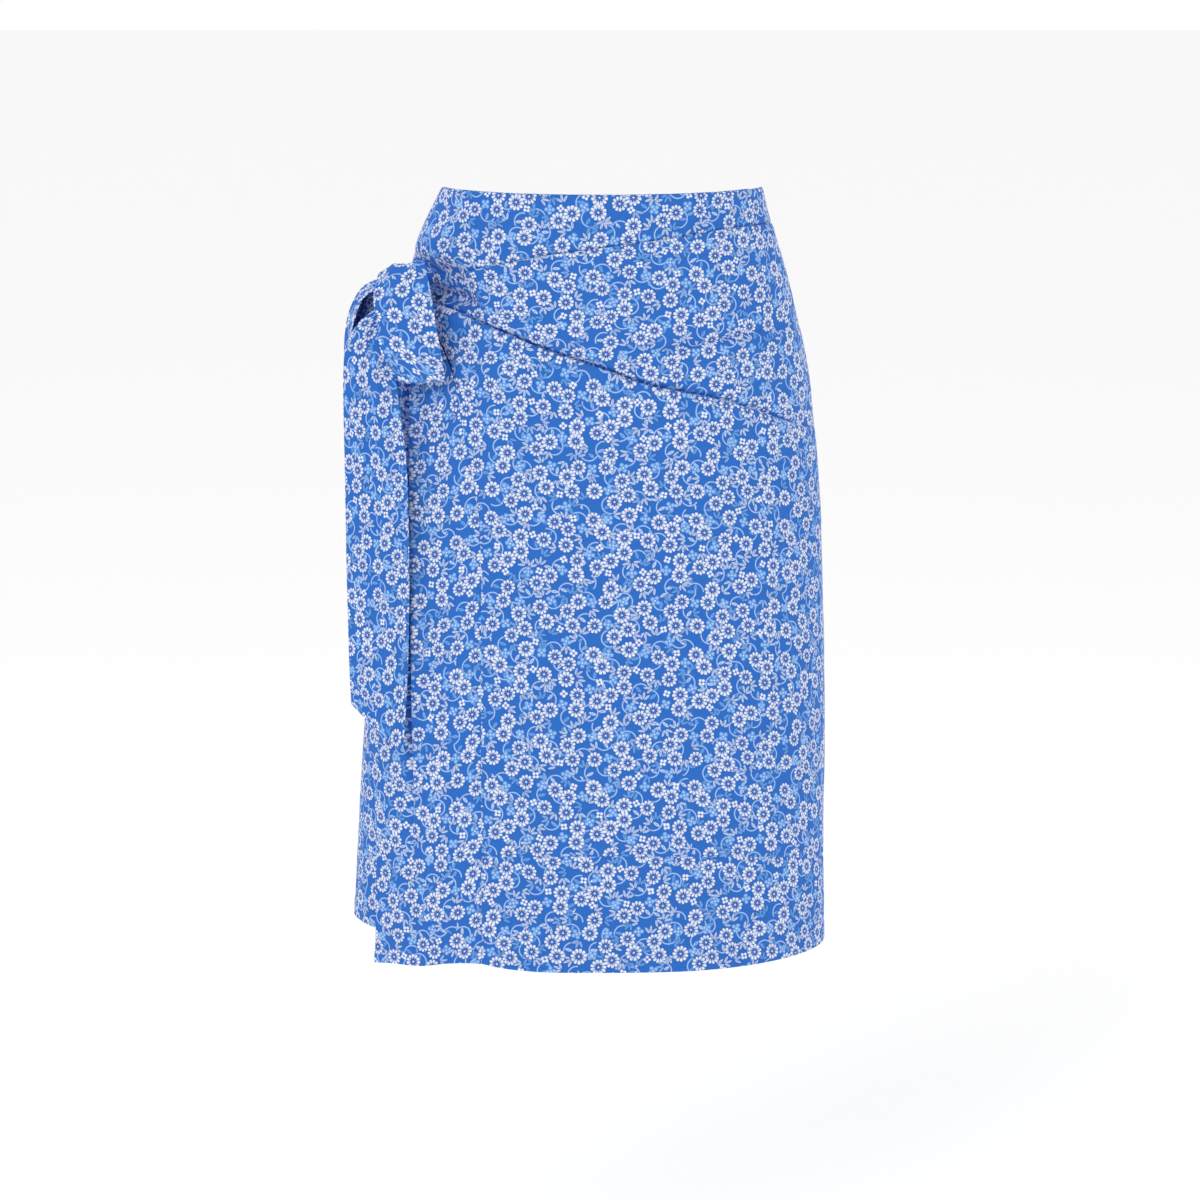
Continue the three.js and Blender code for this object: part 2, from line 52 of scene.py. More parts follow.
# Cut of the skirt in millimetres, as the solids have it. Turns are degrees round the body, 0 at the front.
CLOTH_WALL = 1.2
SEAM_LAP = 0.2
LAYER_STEP = 2.0
STRAP_WALL = 1.6
SIDE_SEAM_TURN = 96
SIDE_SEAM_DEPTH = 112
SEAM_TURN = math.degrees(SEAM_LAP / 2 / SIDE_SEAM_DEPTH)
RIGHT_SEAM = SIDE_SEAM_TURN + SEAM_TURN
UNDER_FLAP_TURN = 70
UNDER_FREE_TURN = -68
BAND_END_TURN = -84
BACK_BAND_DEPTH = 34
UNDER_BAND_DEPTH = 40
BACK_WAIST_DROP = 20
WAIST_DROP_FADE = 250
WAIST_DROP_ROUND = 0.02


def table(columns, *rows):
    """A short table as a dictionary of its named columns."""
    return {name: np.array([row[i] for row in rows], float) for i, name in enumerate(columns.split())}


SECTIONS = table(
    "down left right front back",
    (0, 131, 130.5, 92, 93),
    (30, 145, 137.5, 96, 99),
    (65, 158, 149, 101, 107),
    (100, 165, 158, 106, 114),
    (150, 173, 169, 112, 121),
    (200, 180.5, 175, 116, 125),
    (270, 188, 181, 119, 127),
    (350, 194, 184, 120.5, 127),
    (450, 200.5, 186.5, 121, 126),
    (550, 207, 186, 121.5, 124.5),
    (645, 212, 187.5, 122, 124),
)
BAND_EDGE = table(
    "turn down",
    (-84, 42), (-76, 64), (-68, 84), (-61, 87), (-54, 80), (-43, 64.5), (-31, 57),
    (-16, 48.5), (0, 42.5), (18, 37), (30, 34), (41, 31), (55, 29.5), (96, 31),
)
# Diagonal fold from the knot across the hip: its line, and how far its lower edge stands out
FOLD = table(
    "turn down lift",
    (-64, 94, 4.6), (-54, 97.5, 5.0), (-45, 101.5, 5.0), (-29, 114.5, 4.2), (-13, 130, 3.6),
    (0, 142, 3.4), (12, 155, 3.2), (20, 160, 2.8), (33, 168, 2.3), (45, 178, 2.0),
    (64, 194, 1.5), (80, 203, 0.8), (96, 210, 0),
)
TUCK = table(
    "turn down lift",
    (-64, 90.5, 0), (-45, 88, 0), (-29, 95, 0), (-10, 112, 0.2), (10, 125, 0.9),
    (25, 125, 1.5), (45, 118, 1.5), (60, 116.5, 1.2), (78, 118, 0.6), (96, 120, 0),
)
EDGE_LINES = table(
    "down seam free",
    (88, -143, -153), (120, -133, -158), (146, -122.5, -163), (180, -116.5, -168),
    (220, -109, -173), (260, -101.5, -177), (290, -99.8, -179.5), (350, -99.6, -183),
    (470, -100, -186.6), (652, -100, -188.5),
)
FLAP_HEM = table(
    "turn down",
    (-62, 652), (-54, 649), (-45, 647.5), (-36, 642), (-28, 640), (-23, 642.4),
    (-14, 644), (3, 643.8), (31, 645), (57, 644.5), (96, 643),
)
HEM_SEAM = table(
    "turn down",
    (-30, 548.8), (-14, 546), (0, 545), (15, 546), (37, 551), (56, 558.4), (72, 566.7), (96, 573),
)
UNDER_HEM = table("turn down", (-96, 622), (-62, 624), (0, 632), (70, 634))
BACK_HEM = table("turn down", (96, 643), (140, 641), (180, 638), (225, 629), (264, 622))
BACK_FOLDS = table(
    "turn lean down length lift",
    (118, 4, 70, 110, 1.6), (139, 6, 90, 150, 2.2), (163, 9, 78, 120, 1.5),
    (192, 12, 84, 140, 2.0), (214, 15, 92, 170, 2.6), (238, 14, 96, 130, 2.2),
)
BACK_FOLD_WIDE = 5
BACK_FOLD_TAPER = 4

# The fold and the tuck: where the cloth turns under, and the dark dip above the lip
FOLD_MOUTH = -1.8
FOLD_LIP = 0.8
FOLD_DIP = 5
FOLD_DIP_WIDE = 2.6
FOLD_DIP_LIFTS = (0.3, 3)
FOLD_TAKES_LIFTS = (0.8, 3)
FOLD_OVERHANG = 1.5
LAP_LEAST = 1.4
FOLD_SETTLE = 30
FOLD_LAP_SETTLE = 7
FOLD_TAKES = 15
TUCK_OVERHANG = 1.1
TUCK_SETTLE = 18
TUCK_TAKES = 6

# The roll below the waistband, the lifted lower corner of the flap, and how far in the inner flap lies
WAIST_ROLL = 1.6
WAIST_ROLL_SETTLE = 10
CORNER_LIFT = 3.5
CORNER_START = 420
CORNER_REACH = 230
CORNER_WIDE = 13
CORNER_TURN = -66
UNDER_SET_IN = 8
UNDER_COVERED_TURN = -54
UNDER_WAIST_SHARE = 0.3
UNDER_WAIST_FADE = (20, 110)
LEAST_OUT = 1.5
# Room behind the knot: its turn, how wide, how far down, how tall and how deep
KNOT_HOLLOW = (-54, 15, 84, 34, 22)

# Slow waves of settled cotton: their lengths in millimetres, and where each one starts
SETTLE_DEPTH = 0.2
SETTLE_WAVES = table(
    "across down phase start",
    (31, 47, 1, 0), (-83, 29, 2, math.pi / 2), (13.7, -21.3, 3, 0), (37, 15.1, 1, 0), (7.3, 9.1, 5, 0),
)
QUICK_SHARE = 0.6
FINE_SHARE = 0.3

# Seams and hems
SEAM_ROLL = 1.0
SEAM_ROLL_WIDE = 1.4
PUCKER_LENGTH = 1.6
PUCKER_SLOW_LENGTH = 4.32
PUCKER_DEPTH = 0.16
PUCKER_REACH = 9
HEM_DEPTH = 12
HEM_RISE = 0.35
HEM_STEP = 0.6

# Rows of the panels' meshes, closer beside the tuck and the fold
FRONT_ROWS = (26, 12, 18, 34, 22, 120)
BAND_ROWS = (14,)
TUCK_ROWS_ABOVE = 5
TUCK_ROWS_BELOW = 3
TUCK_ROWS_SHARE = 0.3
FOLD_ROWS_ABOVE = 6
FOLD_ROWS_SHARE = 0.4
FOLD_ROWS_BELOW = 5
FOLD_ROWS_FAR = 40
ARC_STEPS = 24
SIDE_ROUNDS = 4
FIRST_DOWN = 300.0
SMOOTH_BELOW = 50

# The tie, each row its strap's two edges, from the knot outward
STRAP_COLUMNS = "lx ly lz rx ry rz bulge"
FRONT_LOOP = table(
    STRAP_COLUMNS,
    (-173, -50, -74, -158, -53, -72, 0),
    (-179, -57, -65.5, -147, -66, -58, 1),
    (-184, -71, -68, -145, -80, -58, 2),
    (-187, -86, -84, -140, -97, -77, 3),
    (-184, -91, -106, -135.5, -102, -104, 3),
    (-180.5, -92, -130, -131, -103, -130, 3),
    (-168, -92, -149, -128.5, -101, -146, 2),
    (-166.5, -88, -154, -128.5, -96, -150.5, 1),
    (-169, -84.5, -149, -130, -91, -146, 0),
    (-173, -83.5, -128, -135, -89, -126, 0),
    (-170, -80, -106, -145, -84, -103, 0),
    (-166, -60, -84, -157, -60, -83, 0),
)
# The last rows are the strand behind the arch, drawn out to it so that a dark pocket shows between them
BACK_LOOP = table(
    STRAP_COLUMNS,
    (-173, -42, -80, -172, -52, -78, 0),
    (-185, -31, -75, -180, -58, -79, 1),
    (-198, -25, -83, -196, -58, -88, 1.5),
    (-207.5, -19, -101, -204, -58, -107, 2),
    (-212, -16, -124, -208, -59, -131, 2),
    (-212.5, -14, -151, -211, -56, -154, 1.5),
    (-204, -12, -176, -207, -54, -173, 0.5),
    (-197, -13, -172, -199, -54, -169, 0),
    (-210.5, -14, -150, -193, -54, -148, 0),
    (-210, -17, -122, -186, -52, -120, 0),
    (-201.5, -24.5, -88, -182, -51, -90, 0),
    (-172, -43, -86, -171, -49, -84, 0),
)
FRONT_TAIL = table(
    STRAP_COLUMNS,
    (-176, -56, -83, -164, -58, -88, 0),
    (-186, -69, -95, -170, -70, -102, 1),
    (-200, -70, -107, -169, -74, -120, 2),
    (-210.5, -68, -126, -170, -77, -142, 2.5),
    (-213.5, -66, -155, -168, -79, -166, 3),
    (-213, -66, -225, -161, -83, -225, 3.5),
    (-212.3, -66, -308, -159.4, -84.5, -308, 2.5),
    (-211, -66, -389, -161, -85, -389, 3),
    (-209.5, -66, -428, -165.8, -85, -465, 2),
)
BACK_TAIL = table(
    STRAP_COLUMNS,
    (-173, -52, -87, -165, -53, -90, 0),
    (-188, -63, -112, -172, -67, -120, 0),
    (-202, -62, -142, -166, -73.5, -150, 1),
    (-206, -61, -225, -164, -74, -225, 1.5),
    (-205, -61, -308, -165, -75, -308, 1),
    (-204, -61, -370, -167, -76, -375, 1.5),
    (-203, -61, -386, -169, -76, -412, 1),
)

STRAP_SIDE = 22
STRAP_EDGE_POWER = 6
STRAP_EDGE_CROWDING = 0.4
STRAP_SETTLE_ACROSS = 2.2
STRAP_FOLD_FADE = 16
SEWN_END_REACH = 4
SEWN_END_THINNER = 0.5
TIE_CLOTH_WALL = 0.35
TIE_GATHER = 1.3
KNOT_AT = (-165.2, -48.1, -78)
KNOT_OUTWARD, KNOT_ACROSS, KNOT_TALL = 14, 13, 15
KNOT_FACING = 212
KNOT_WRAPS = 3
KNOT_WRAP_DEPTH = 1.1
KNOT_WRAP_SWAY = 0.7
KNOT_PINCH_DEPTH = 0.4
KNOT_ROUNDING = 0.4
KNOT_GATHER = 2.1
KNOT_OPEN = 0.96
KNOT_STEPS_ROUND, KNOT_STEPS_ACROSS = 72, 32

# Folds along the straps: where across, how wide, how high, from and to along it, and how far they drift
STRAP_FOLD_COLUMNS = "at wide lift start end drift"
FRONT_LOOP_FOLDS = table(
    STRAP_FOLD_COLUMNS,
    (0.3, 0.07, 1.6, 4, 70, 0.12),
    (0.62, 0.09, -1.4, 2, 60, -0.1),
)
BACK_LOOP_FOLDS = table(
    STRAP_FOLD_COLUMNS,
    (0.4, 0.08, 1.6, 6, 90, 0.2),
    (0.7, 0.1, -1.2, 4, 80, -0.1),
)
FRONT_TAIL_FOLDS = table(
    STRAP_FOLD_COLUMNS,
    (0.2, 0.07, 1.8, 60, 190, 0.1),
    (0.42, 0.1, -2.0, 20, 330, 0.08),
    (0.7, 0.08, 1.7, 30, 260, -0.1),
    (0.86, 0.07, -1.2, 60, 360, 0.02),
)
BACK_TAIL_FOLDS = table(
    STRAP_FOLD_COLUMNS,
    (0.3, 0.09, 1.4, 20, 200, 0.1),
    (0.66, 0.1, -1.4, 40, 300, -0.05),
)

# Creases, listed one by one, in millimetres of cloth from the middle of the front or back. Each fades in and
# out over these shares of its length, with a low swell beside it, at so many times its own width.
CREASE_START = (-0.12, 0.3)
CREASE_END = (0.7, 1.12)
CREASE_SWELL = 0.45
CREASE_SWELL_AT = 1.7
CREASE_SWELL_WIDE = 1.3
CREASE_COLUMNS = "across down to_across to_down bow wide lift"
# The hollow and the pulled cloth beside the knot run across both the waistband and the front
KNOT_CREASES = (
    (-187, 69, -104, 79, 2, 13, -15),
    (-186, 84, -104, 92, 2, 7, -13),
    (-176, 100, -104, 107, -2, 4, 3.0),
    (-166, 70, -96, 48, -3, 5, -2.4),
)
FRONT_CREASES = table(
    CREASE_COLUMNS,
    *KNOT_CREASES,
    (-158, 100, -118, 156, 3, 6, -1.6),
    (-120, 118, -62, 136, 3, 6, 0.9),
    (-100, 150, -20, 196, 6, 11, 0.9),
    (-60, 142, 10, 178, 4, 8, 0.7),
    (-24, 69, 46, 76, 2, 3.5, -0.7),
    (-70, 66, -8, 84, 3, 6, -0.6),
    (44, 161, 112, 184, -3, 4.5, 1.7),
    (40, 170, 120, 200, -4, 8, -1.0),
    (70, 88, 150, 92, 4, 9, -0.7),
    (90, 150, 190, 160, 5, 9, -0.8),
    (60, 230, 210, 262, 10, 16, -0.9),
    (-80, 250, 30, 300, 9, 22, 0.9),
    (10, 330, 60, 520, 12, 26, -1.1),
    (120, 300, 168, 540, 14, 24, 1.2),
    (-50, 360, -34, 560, 8, 24, 0.9),
    (80, 420, 96, 640, 6, 22, -1.0),
)
EDGE_BAND_CREASES = table(
    CREASE_COLUMNS,
    (-177, 60, -165.5, 530, 1, 3, -9),
    (-170, 120, -128, 190, 4, 7, -1.2),
    (-160, 220, -112, 262, 5, 12, 0.9),
    (-185, 330, -118, 352, 5, 16, -0.8),
    (-150, 420, -138, 640, 7, 14, 1.3),
    (-196, 470, -176, 650, 6, 10, 1.2),
)
BACK_CREASES = table(
    CREASE_COLUMNS,
    (-150, 62, -118, 230, 9, 10, -1.3),
    (-96, 52, -80, 168, 6, 8, -1.1),
    (-52, 60, -36, 214, 7, 11, 1.1),
    (-8, 50, 12, 150, 5, 8, -1.0),
    (44, 56, 66, 196, 7, 9, -1.2),
    (92, 60, 120, 236, 9, 11, 1.2),
    (140, 66, 168, 176, 6, 8, -1.2),
    (-120, 250, 60, 268, 12, 14, -1.0),
    (-30, 300, 130, 286, -10, 16, -0.8),
    (-90, 330, -70, 600, 14, 24, 1.3),
    (20, 360, 34, 620, -12, 26, -1.3),
    (110, 340, 138, 610, 14, 24, 1.2),
    (-160, 360, -150, 600, 10, 20, -1.1),
)
UNDER_CREASES = table(
    CREASE_COLUMNS,
    (-205, 70, -196, 180, 5, 7, -0.9),
    (-222, 240, -206, 420, 8, 12, 1.0),
    (-232, 420, -212, 610, 7, 11, -1.0),
)
BAND_CREASES = table(
    CREASE_COLUMNS,
    *KNOT_CREASES,
    (-158, 60, -92, 30, 5, 5, -1.6),
    (-150, 60, -112, 14, 5, 6, 0.9),
    (-60, 26, 20, 20, 3, 7, -0.4),
    (40, 12, 120, 16, 3, 6, -0.4),
)

# The print's chart, in millimetres, on a repeat that is 84 wide and 112 high. Its third side is a depth that
# the flat print never leaves. Most of the places were worked out by a program and rounded to
# whole millimetres. None is traced from a picture.
REPEAT = (84, 112, 40)
DAISIES = (
    (80, 5), (7, 10), (64, 10), (18, 17), (55, 23), (37, 27), (18, 29), (0, 34), (57, 36),
    (46, 42), (77, 44), (22, 48), (10, 59), (21, 65), (60, 68), (78, 68), (39, 71), (16, 77),
    (56, 80), (34, 83), (3, 88), (65, 88), (7, 99), (31, 103), (42, 109), (63, 110),
)
SPRIGS = (
    (46, 9), (29, 19), (75, 24), (11, 39), (31, 39), (66, 50), (44, 54), (0, 55), (30, 68),
    (3, 76), (67, 77), (45, 82), (24, 91), (51, 101), (79, 103), (17, 111), (68, 0), (2, 22),
    (46, 33), (70, 56), (13, 86), (76, 94), (54, 69),
)
SMALL_FLOWERS = (
    (24, 0), (52, 2), (74, 15), (9, 23), (68, 37), (5, 44), (35, 45), (55, 55), (5, 69),
    (76, 87), (17, 88), (43, 89),
)
BUDS = ((5, 0), (33, 1), (53, 11), (82, 21), (28, 31), (61, 45), (30, 54), (50, 65))
LEAF_SPRAYS = (
    (34, 9), (27, 7), (66, 100), (18, 99), (40, 98), (65, 28), (53, 90), (44, 20), (35, 60),
    (77, 79), (66, 20), (34, 94), (12, 49), (60, 97), (55, 48), (26, 77), (22, 38), (74, 34),
    (61, 58), (8, 30), (12, 68), (84, 42), (38, 16), (20, 8), (82, 14), (69, 64), (36, 52),
    (44, 63), (22, 104), (70, 104), (28, 60), (24, 82), (10, 108), (48, 74),
)

# Half of a sprig, which is the same turned half round: its stem's arc, and its leaves as x, y and angle.
# A leaf is named by half its length and half its width. A spray's outer leaf is drawn once for both sides.
STEM_ARC = (5, 5, 7.07)
SPRIG_REACH = 9.6
SPRIG_LEAVES = ((9.0, -3.6, -48), (4.8, -5.6, -98), (3.6, 2.2, 66))
SPRIG_LEAF = (3.5, 1.3)
SPRAY_LEAVES = ((0, 20.9, 90), (2.7, 19.4, 48))
SPRAY_LEAF = (3.4, 1.05)
SPRAY_UP = 20

# How motifs are drawn, in millimetres. An edge is its distance from the motif's own line, and its softness.
# Four numbers are a ramp: where it starts and ends, and its values there. A scale is waves in a millimetre.
WAVER_SCALE, WAVER_DETAIL, WAVER_REACH = 0.62, 1.0, 1.7
PATCH_SCALE, PATCH_DETAIL = 0.35, 2.0
CHANCE_TURNS = 40.0
STEM_EDGE = (0.42, 0.22)
LEAF_EDGE = (-0.12, 0.22)
SPRIG_VEIN = (-1.0, 0.2)
SPRIG_WHITE = (0.4, 0.6, 0.0, 1.0)
SPRAY_VEIN = (-0.82, 0.18)
SPRAY_BLUE = (0.6, 0.8, 0.0, 1.0)
SPRAY_HALO = (0.1, 0.9, 0.7, 0.0)
SMALL_FLOWER_REACH = 1.9
SMALL_FLOWER_EDGE = (1.75, 0.25)
SMALL_FLOWER_MIDDLE = (0.5, 0.9)
SMALL_FLOWER_DOT = (0.7, 0.25)
BUD_REACH = 1.35
BUD_EDGE = (1.2, 0.25)
BUD_DOT = (0.6, 0.4)
DAISY_RADIUS, DAISY_SPREAD = 6.5, 0.8
DAISY_PETALS = 11
DAISY_EDGE = (-0.2, 0.25)
DAISY_HALO = (0.2, 1.3, 0.6, 0.0)
PETAL_TIP_POWER, PETAL_TIP_DEPTH = 2.4, 2.7
PETAL_NOTCH = (0.0, 0.3, -0.55, 0.0)
PETAL_SHADE_EDGE = (-0.3, 0.3)
PETAL_BASE_FADE = (2.4, 5.6, 0.85, 0.0)
PETAL_GAP_FROM = (2.8, 6.0, 0.84, 0.7)
PETAL_GAP_FADE = (-0.1, 0.14, 0.0, 0.8)
EYE_WAVE = 0.6
EYE_EDGE = (3.0, 0.45)
EYE_RING = 2.7
EYE_RING_EDGE = (0.8, 0.4)
EYE_STREAK_FADE = (-0.5, 0.6, 0.0, 1.0)
EYE_DOT = (0.75, 0.2)

# Colours, as sRGB
GROUND = "#3575CC"
GROUND_DEEP = "#2566C1"
GROUND_DARK = "#1E52A3"
STEM = "#B9D2F5"
PALE_BLUE = "#70A9EA"
LEAF_WHITE = "#CBDCF7"
PETAL = "#EAEFFB"
PETAL_BASE = "#9DB6E6"
GAP_BLUE = "#4270C4"
EYE_BLUE = "#3F70C4"
EYE_DARK = "#1F3F86"
WRONG_SIDE = "#A9C2EA"
THREAD = "#3F74C2"
PAPER = "#FFFFFF"

# Materials. Thin dry cotton has no gloss, and a soft bloom of fibres along the folds.
PRINT_MAP = "cloth"
POPLIN_SURFACE = {
    "Roughness": 0.86,
    "Specular IOR Level": 0.15,
    "Sheen Weight": 0.04,
    "Sheen Roughness": 0.5,
}
WEAVE_STEP = 0.7
WEAVE_DEPTH = 0.05
WEAVE_STRENGTH = 0.25
WRONG_SIDE_SHOWS = 0.45
PLAIN_GLOSS = 0.3
EDGE_ROUGHNESS = 0.9
THREAD_ROUGHNESS = 0.7
PAPER_ROUGHNESS = 0.9
MATERIAL_NAMES = (
    "printed cotton poplin", "printed cotton poplin, wrong side", "poplin edge, painted seam shade", "sewing thread",
)

# Sewing, in millimetres
STITCH_GAP = 0.7
SEAM_STITCH = 2
THREAD_RADIUS = 0.16
THREAD_SIDES = 5
STITCH_SHARES = np.array([0, 0.15, 0.5, 0.85, 1])
STITCH_RISE, STITCH_SINK = 2.2, 0.9

# Lights: name, place, what it faces, size and power in watts
LAMPS = (
    ("key_left", (-2.0, -3.6, 1.9), (0, 0, -0.3), 2.4, 62),
    ("fill_right", (3.4, -0.8, 0.4), (0, 0, -0.35), 1.8, 18),
)
# The room's own light is weak from the front and strong from behind, with more from above
ROOM_FRONT, ROOM_BEHIND, ROOM_ABOVE = 0.13, 1.0, 0.86
ROOM_BEHIND_FROM = (0.1, 0.7)
FLOOR_SIZE = 40
FLOOR_Z = -0.95
CAMERA_AT = (-0.0017, -3.75, 0.33)
CAMERA_TILT = 79.7
CAMERA_LENS = 135
CAMERA_SENSOR = 36
CAMERA_SEES = 100


# Curves and the body
def column_curve(rows, key, column, at):
    """Smooth curve through a table's column, its slope at each row taken from the rows beside it."""
    keys, values = rows[key], rows[column]
    at = np.clip(np.asarray(at, float), keys[0], keys[-1])
    order = np.arange(len(keys))
    before, after = np.maximum(order - 1, 0), np.minimum(order + 1, len(keys) - 1)
    slopes = (values[after] - values[before]) / (keys[after] - keys[before])
    row = np.clip(np.searchsorted(keys, at, side="left") - 1, 0, len(keys) - 2)
    span = keys[row + 1] - keys[row]
    t = (at - keys[row]) / span
    t2, t3 = t * t, t * t * t
    start = (2 * t3 - 3 * t2 + 1) * values[row] + (t3 - 2 * t2 + t) * span * slopes[row]
    end = (3 * t2 - 2 * t3) * values[row + 1] + (t3 - t2) * span * slopes[row + 1]
    return start + end


def line_down(rows, turn):
    """How far down a seam, a fold or a hem runs at each turn round the body."""
    return column_curve(rows, "turn", "down", turn)


def smooth_step(low, high, value):
    """0 up to the low value and 1 from the high one on, with a soft change between."""
    t = np.clip((value - low) / (high - low), 0, 1)
    return t * t * (3 - 2 * t)


def bump_across(distance, wide):
    """A round ridge across a line, 1 on the line itself."""
    return np.exp(-((distance / wide) ** 2))


def waist_drop(turn, down):
    """How much lower the cloth lies at the back of the waist than at its front."""
    behind = -np.cos(np.radians(turn))
    rounded = (np.sqrt(behind * behind + WAIST_DROP_ROUND) + behind) / 2
    return BACK_WAIST_DROP * rounded * np.maximum(0, 1 - down / WAIST_DROP_FADE)


def half_sizes(sine, cosine, down):
    """Half the body's width and half its depth, on the side that a direction points to."""
    left, right, front, back = (
        column_curve(SECTIONS, "down", side, down) for side in ("left", "right", "front", "back")
    )
    return np.where(sine > 0, right, left), np.where(cosine > 0, front, back)


def skirt_point(turn, down, out):
    """A point in millimetres: how far round, how far down, and how far out from the innermost cloth."""
    angle = np.radians(turn)
    sine, cosine = np.sin(angle), np.cos(angle)
    half_width, half_depth = half_sizes(sine, cosine, down)
    x, y = (half_width + out) * sine, -(half_depth + out) * cosine
    return np.stack([x, y, -down - waist_drop(turn, down)], -1)


def turn_at(across, down):
    """The turn of a point on the front's left half that lies this far across from the middle."""
    half_width = column_curve(SECTIONS, "down", "left", down) + LAYER_STEP
    return np.degrees(np.arcsin(np.maximum(across / half_width, -1)))


def arc_across(turn, down, middle):
    """Length of cloth from a middle turn round to each point, at that point's own height."""
    angle = np.radians(middle + (turn - middle)[..., None] * np.linspace(0, 1, ARC_STEPS))
    sine, cosine = np.sin(angle), np.cos(angle)
    half_width, half_depth = half_sizes(sine, cosine, down[..., None])
    speed = np.hypot(half_width * cosine, half_depth * sine)
    return (speed[..., 1:] + speed[..., :-1]).mean(-1) / 2 * np.radians(turn - middle)


# How each layer of cloth lies: how far out, how far it is moved down, and the cloth that its folds take in
def fold_shape(turn, down, rows, overhang, settle, takes):
    """How far a folded line stands out, how far its lower edge laps up, and how much cloth it takes in."""
    below = down - line_down(rows, turn)
    lift = column_curve(rows, "turn", "lift", turn)
    step = smooth_step(FOLD_MOUTH, FOLD_LIP, below)
    past = np.maximum(below - FOLD_LIP, 0)
    dip = FOLD_DIP * smooth_step(*FOLD_DIP_LIFTS, lift) * bump_across(below - FOLD_MOUTH, FOLD_DIP_WIDE)
    out = lift * step * np.exp(-past / settle) - dip
    # The cloth that a fold takes in lies under its lap, out of sight
    taken = smooth_step(FOLD_MOUTH, (FOLD_MOUTH + FOLD_LIP) / 2, below) * smooth_step(*FOLD_TAKES_LIFTS, lift)
    lap = overhang * np.maximum(lift - LAP_LEAST, 0) * step * np.exp(-past / FOLD_LAP_SETTLE)
    return out, -lap, takes * taken


def front_shape(turn, down):
    """The outer flap, with its fold, its tuck, the roll below the band and the lifted corner."""
    fold_out, fold_lap, fold_takes = fold_shape(turn, down, FOLD, FOLD_OVERHANG, FOLD_SETTLE, FOLD_TAKES)
    tuck_out, tuck_lap, tuck_takes = fold_shape(turn, down, TUCK, TUCK_OVERHANG, TUCK_SETTLE, TUCK_TAKES)
    below_band = np.maximum(down - line_down(BAND_EDGE, turn), 0)
    corner = np.maximum(down - CORNER_START, 0) / CORNER_REACH
    corner_across = np.exp(-np.maximum(turn - CORNER_TURN, 0) / CORNER_WIDE)
    roll = WAIST_ROLL * np.exp(-below_band / WAIST_ROLL_SETTLE)
    lifted = CORNER_LIFT * corner * corner * corner_across
    out = LAYER_STEP + fold_out + tuck_out + roll + lifted
    return out, fold_lap + tuck_lap, fold_takes + tuck_takes


def front_band_shape(turn, down):
    """The front waistband lies level with the outer flap."""
    return LAYER_STEP, 0, 0


def back_band_shape(turn, down):
    """The back waistband leaves the outer layer at one side seam and joins the inner one at the other."""
    return LAYER_STEP * (1 - smooth_step(SIDE_SEAM_TURN, 360 - SIDE_SEAM_TURN, turn)), 0, 0


def back_shape(turn, down):
    """The back panel, with the soft folds that hang from its waist seam."""
    out = back_band_shape(turn, down)[0]
    for fold_turn, lean, start, reach, lift in zip(*BACK_FOLDS.values()):
        along = (down - start) / reach
        side = (turn - fold_turn - lean * along) / BACK_FOLD_WIDE
        out = out + lift * np.exp(-side * side - along * along * BACK_FOLD_TAPER)
    return out, 0, 0


def under_depth(turn, down):
    """How far in the inner flap lies: least at the waist, and most beside the knot."""
    covered = smooth_step(UNDER_FREE_TURN, UNDER_COVERED_TURN, turn)
    waist_share = UNDER_WAIST_SHARE + (1 - UNDER_WAIST_SHARE) * smooth_step(*UNDER_WAIST_FADE, down)
    at_turn, wide, at_down, tall, depth = KNOT_HOLLOW
    hollow = depth * bump_across(turn - at_turn, wide) * bump_across(down - at_down, tall)
    return UNDER_SET_IN * covered * waist_share + hollow


def under_shape(turn, down):
    """The inner flap lies a little deeper where the outer flap covers it."""
    return -under_depth(turn, down), 0, 0


def creased(across, down, creases):
    """Soft troughs and ridges along short bowed lines on the cloth, each with a low swell beside it."""
    out = np.zeros_like(across)
    for x0, y0, x1, y1, bow, wide, lift in zip(*creases.values()):
        run, fall = x1 - x0, y1 - y0
        reach = math.hypot(run, fall)
        along = ((across - x0) * run + (down - y0) * fall) / reach ** 2
        side = ((across - x0) * fall - (down - y0) * run) / reach
        side = side - 4 * bow * np.clip(along, 0, 1) * (1 - np.clip(along, 0, 1))
        ends = smooth_step(*CREASE_START, along) * (1 - smooth_step(*CREASE_END, along))
        swell = CREASE_SWELL * bump_across(side - CREASE_SWELL_AT * wide, CREASE_SWELL_WIDE * wide)
        out += lift * ends * (bump_across(side, wide) - swell)
    return out


def settled(across, down, phase):
    """The slow unevenness of thin pressed cotton, a few tenths of a millimetre deep."""
    slow, slow_too, quick, quick_too, fine = (
        np.sin(across / wave_across + down / wave_down + turns * phase + start)
        for wave_across, wave_down, turns, start in zip(*SETTLE_WAVES.values())
    )
    return SETTLE_DEPTH * (slow * slow_too + QUICK_SHARE * quick * quick_too + FINE_SHARE * fine)


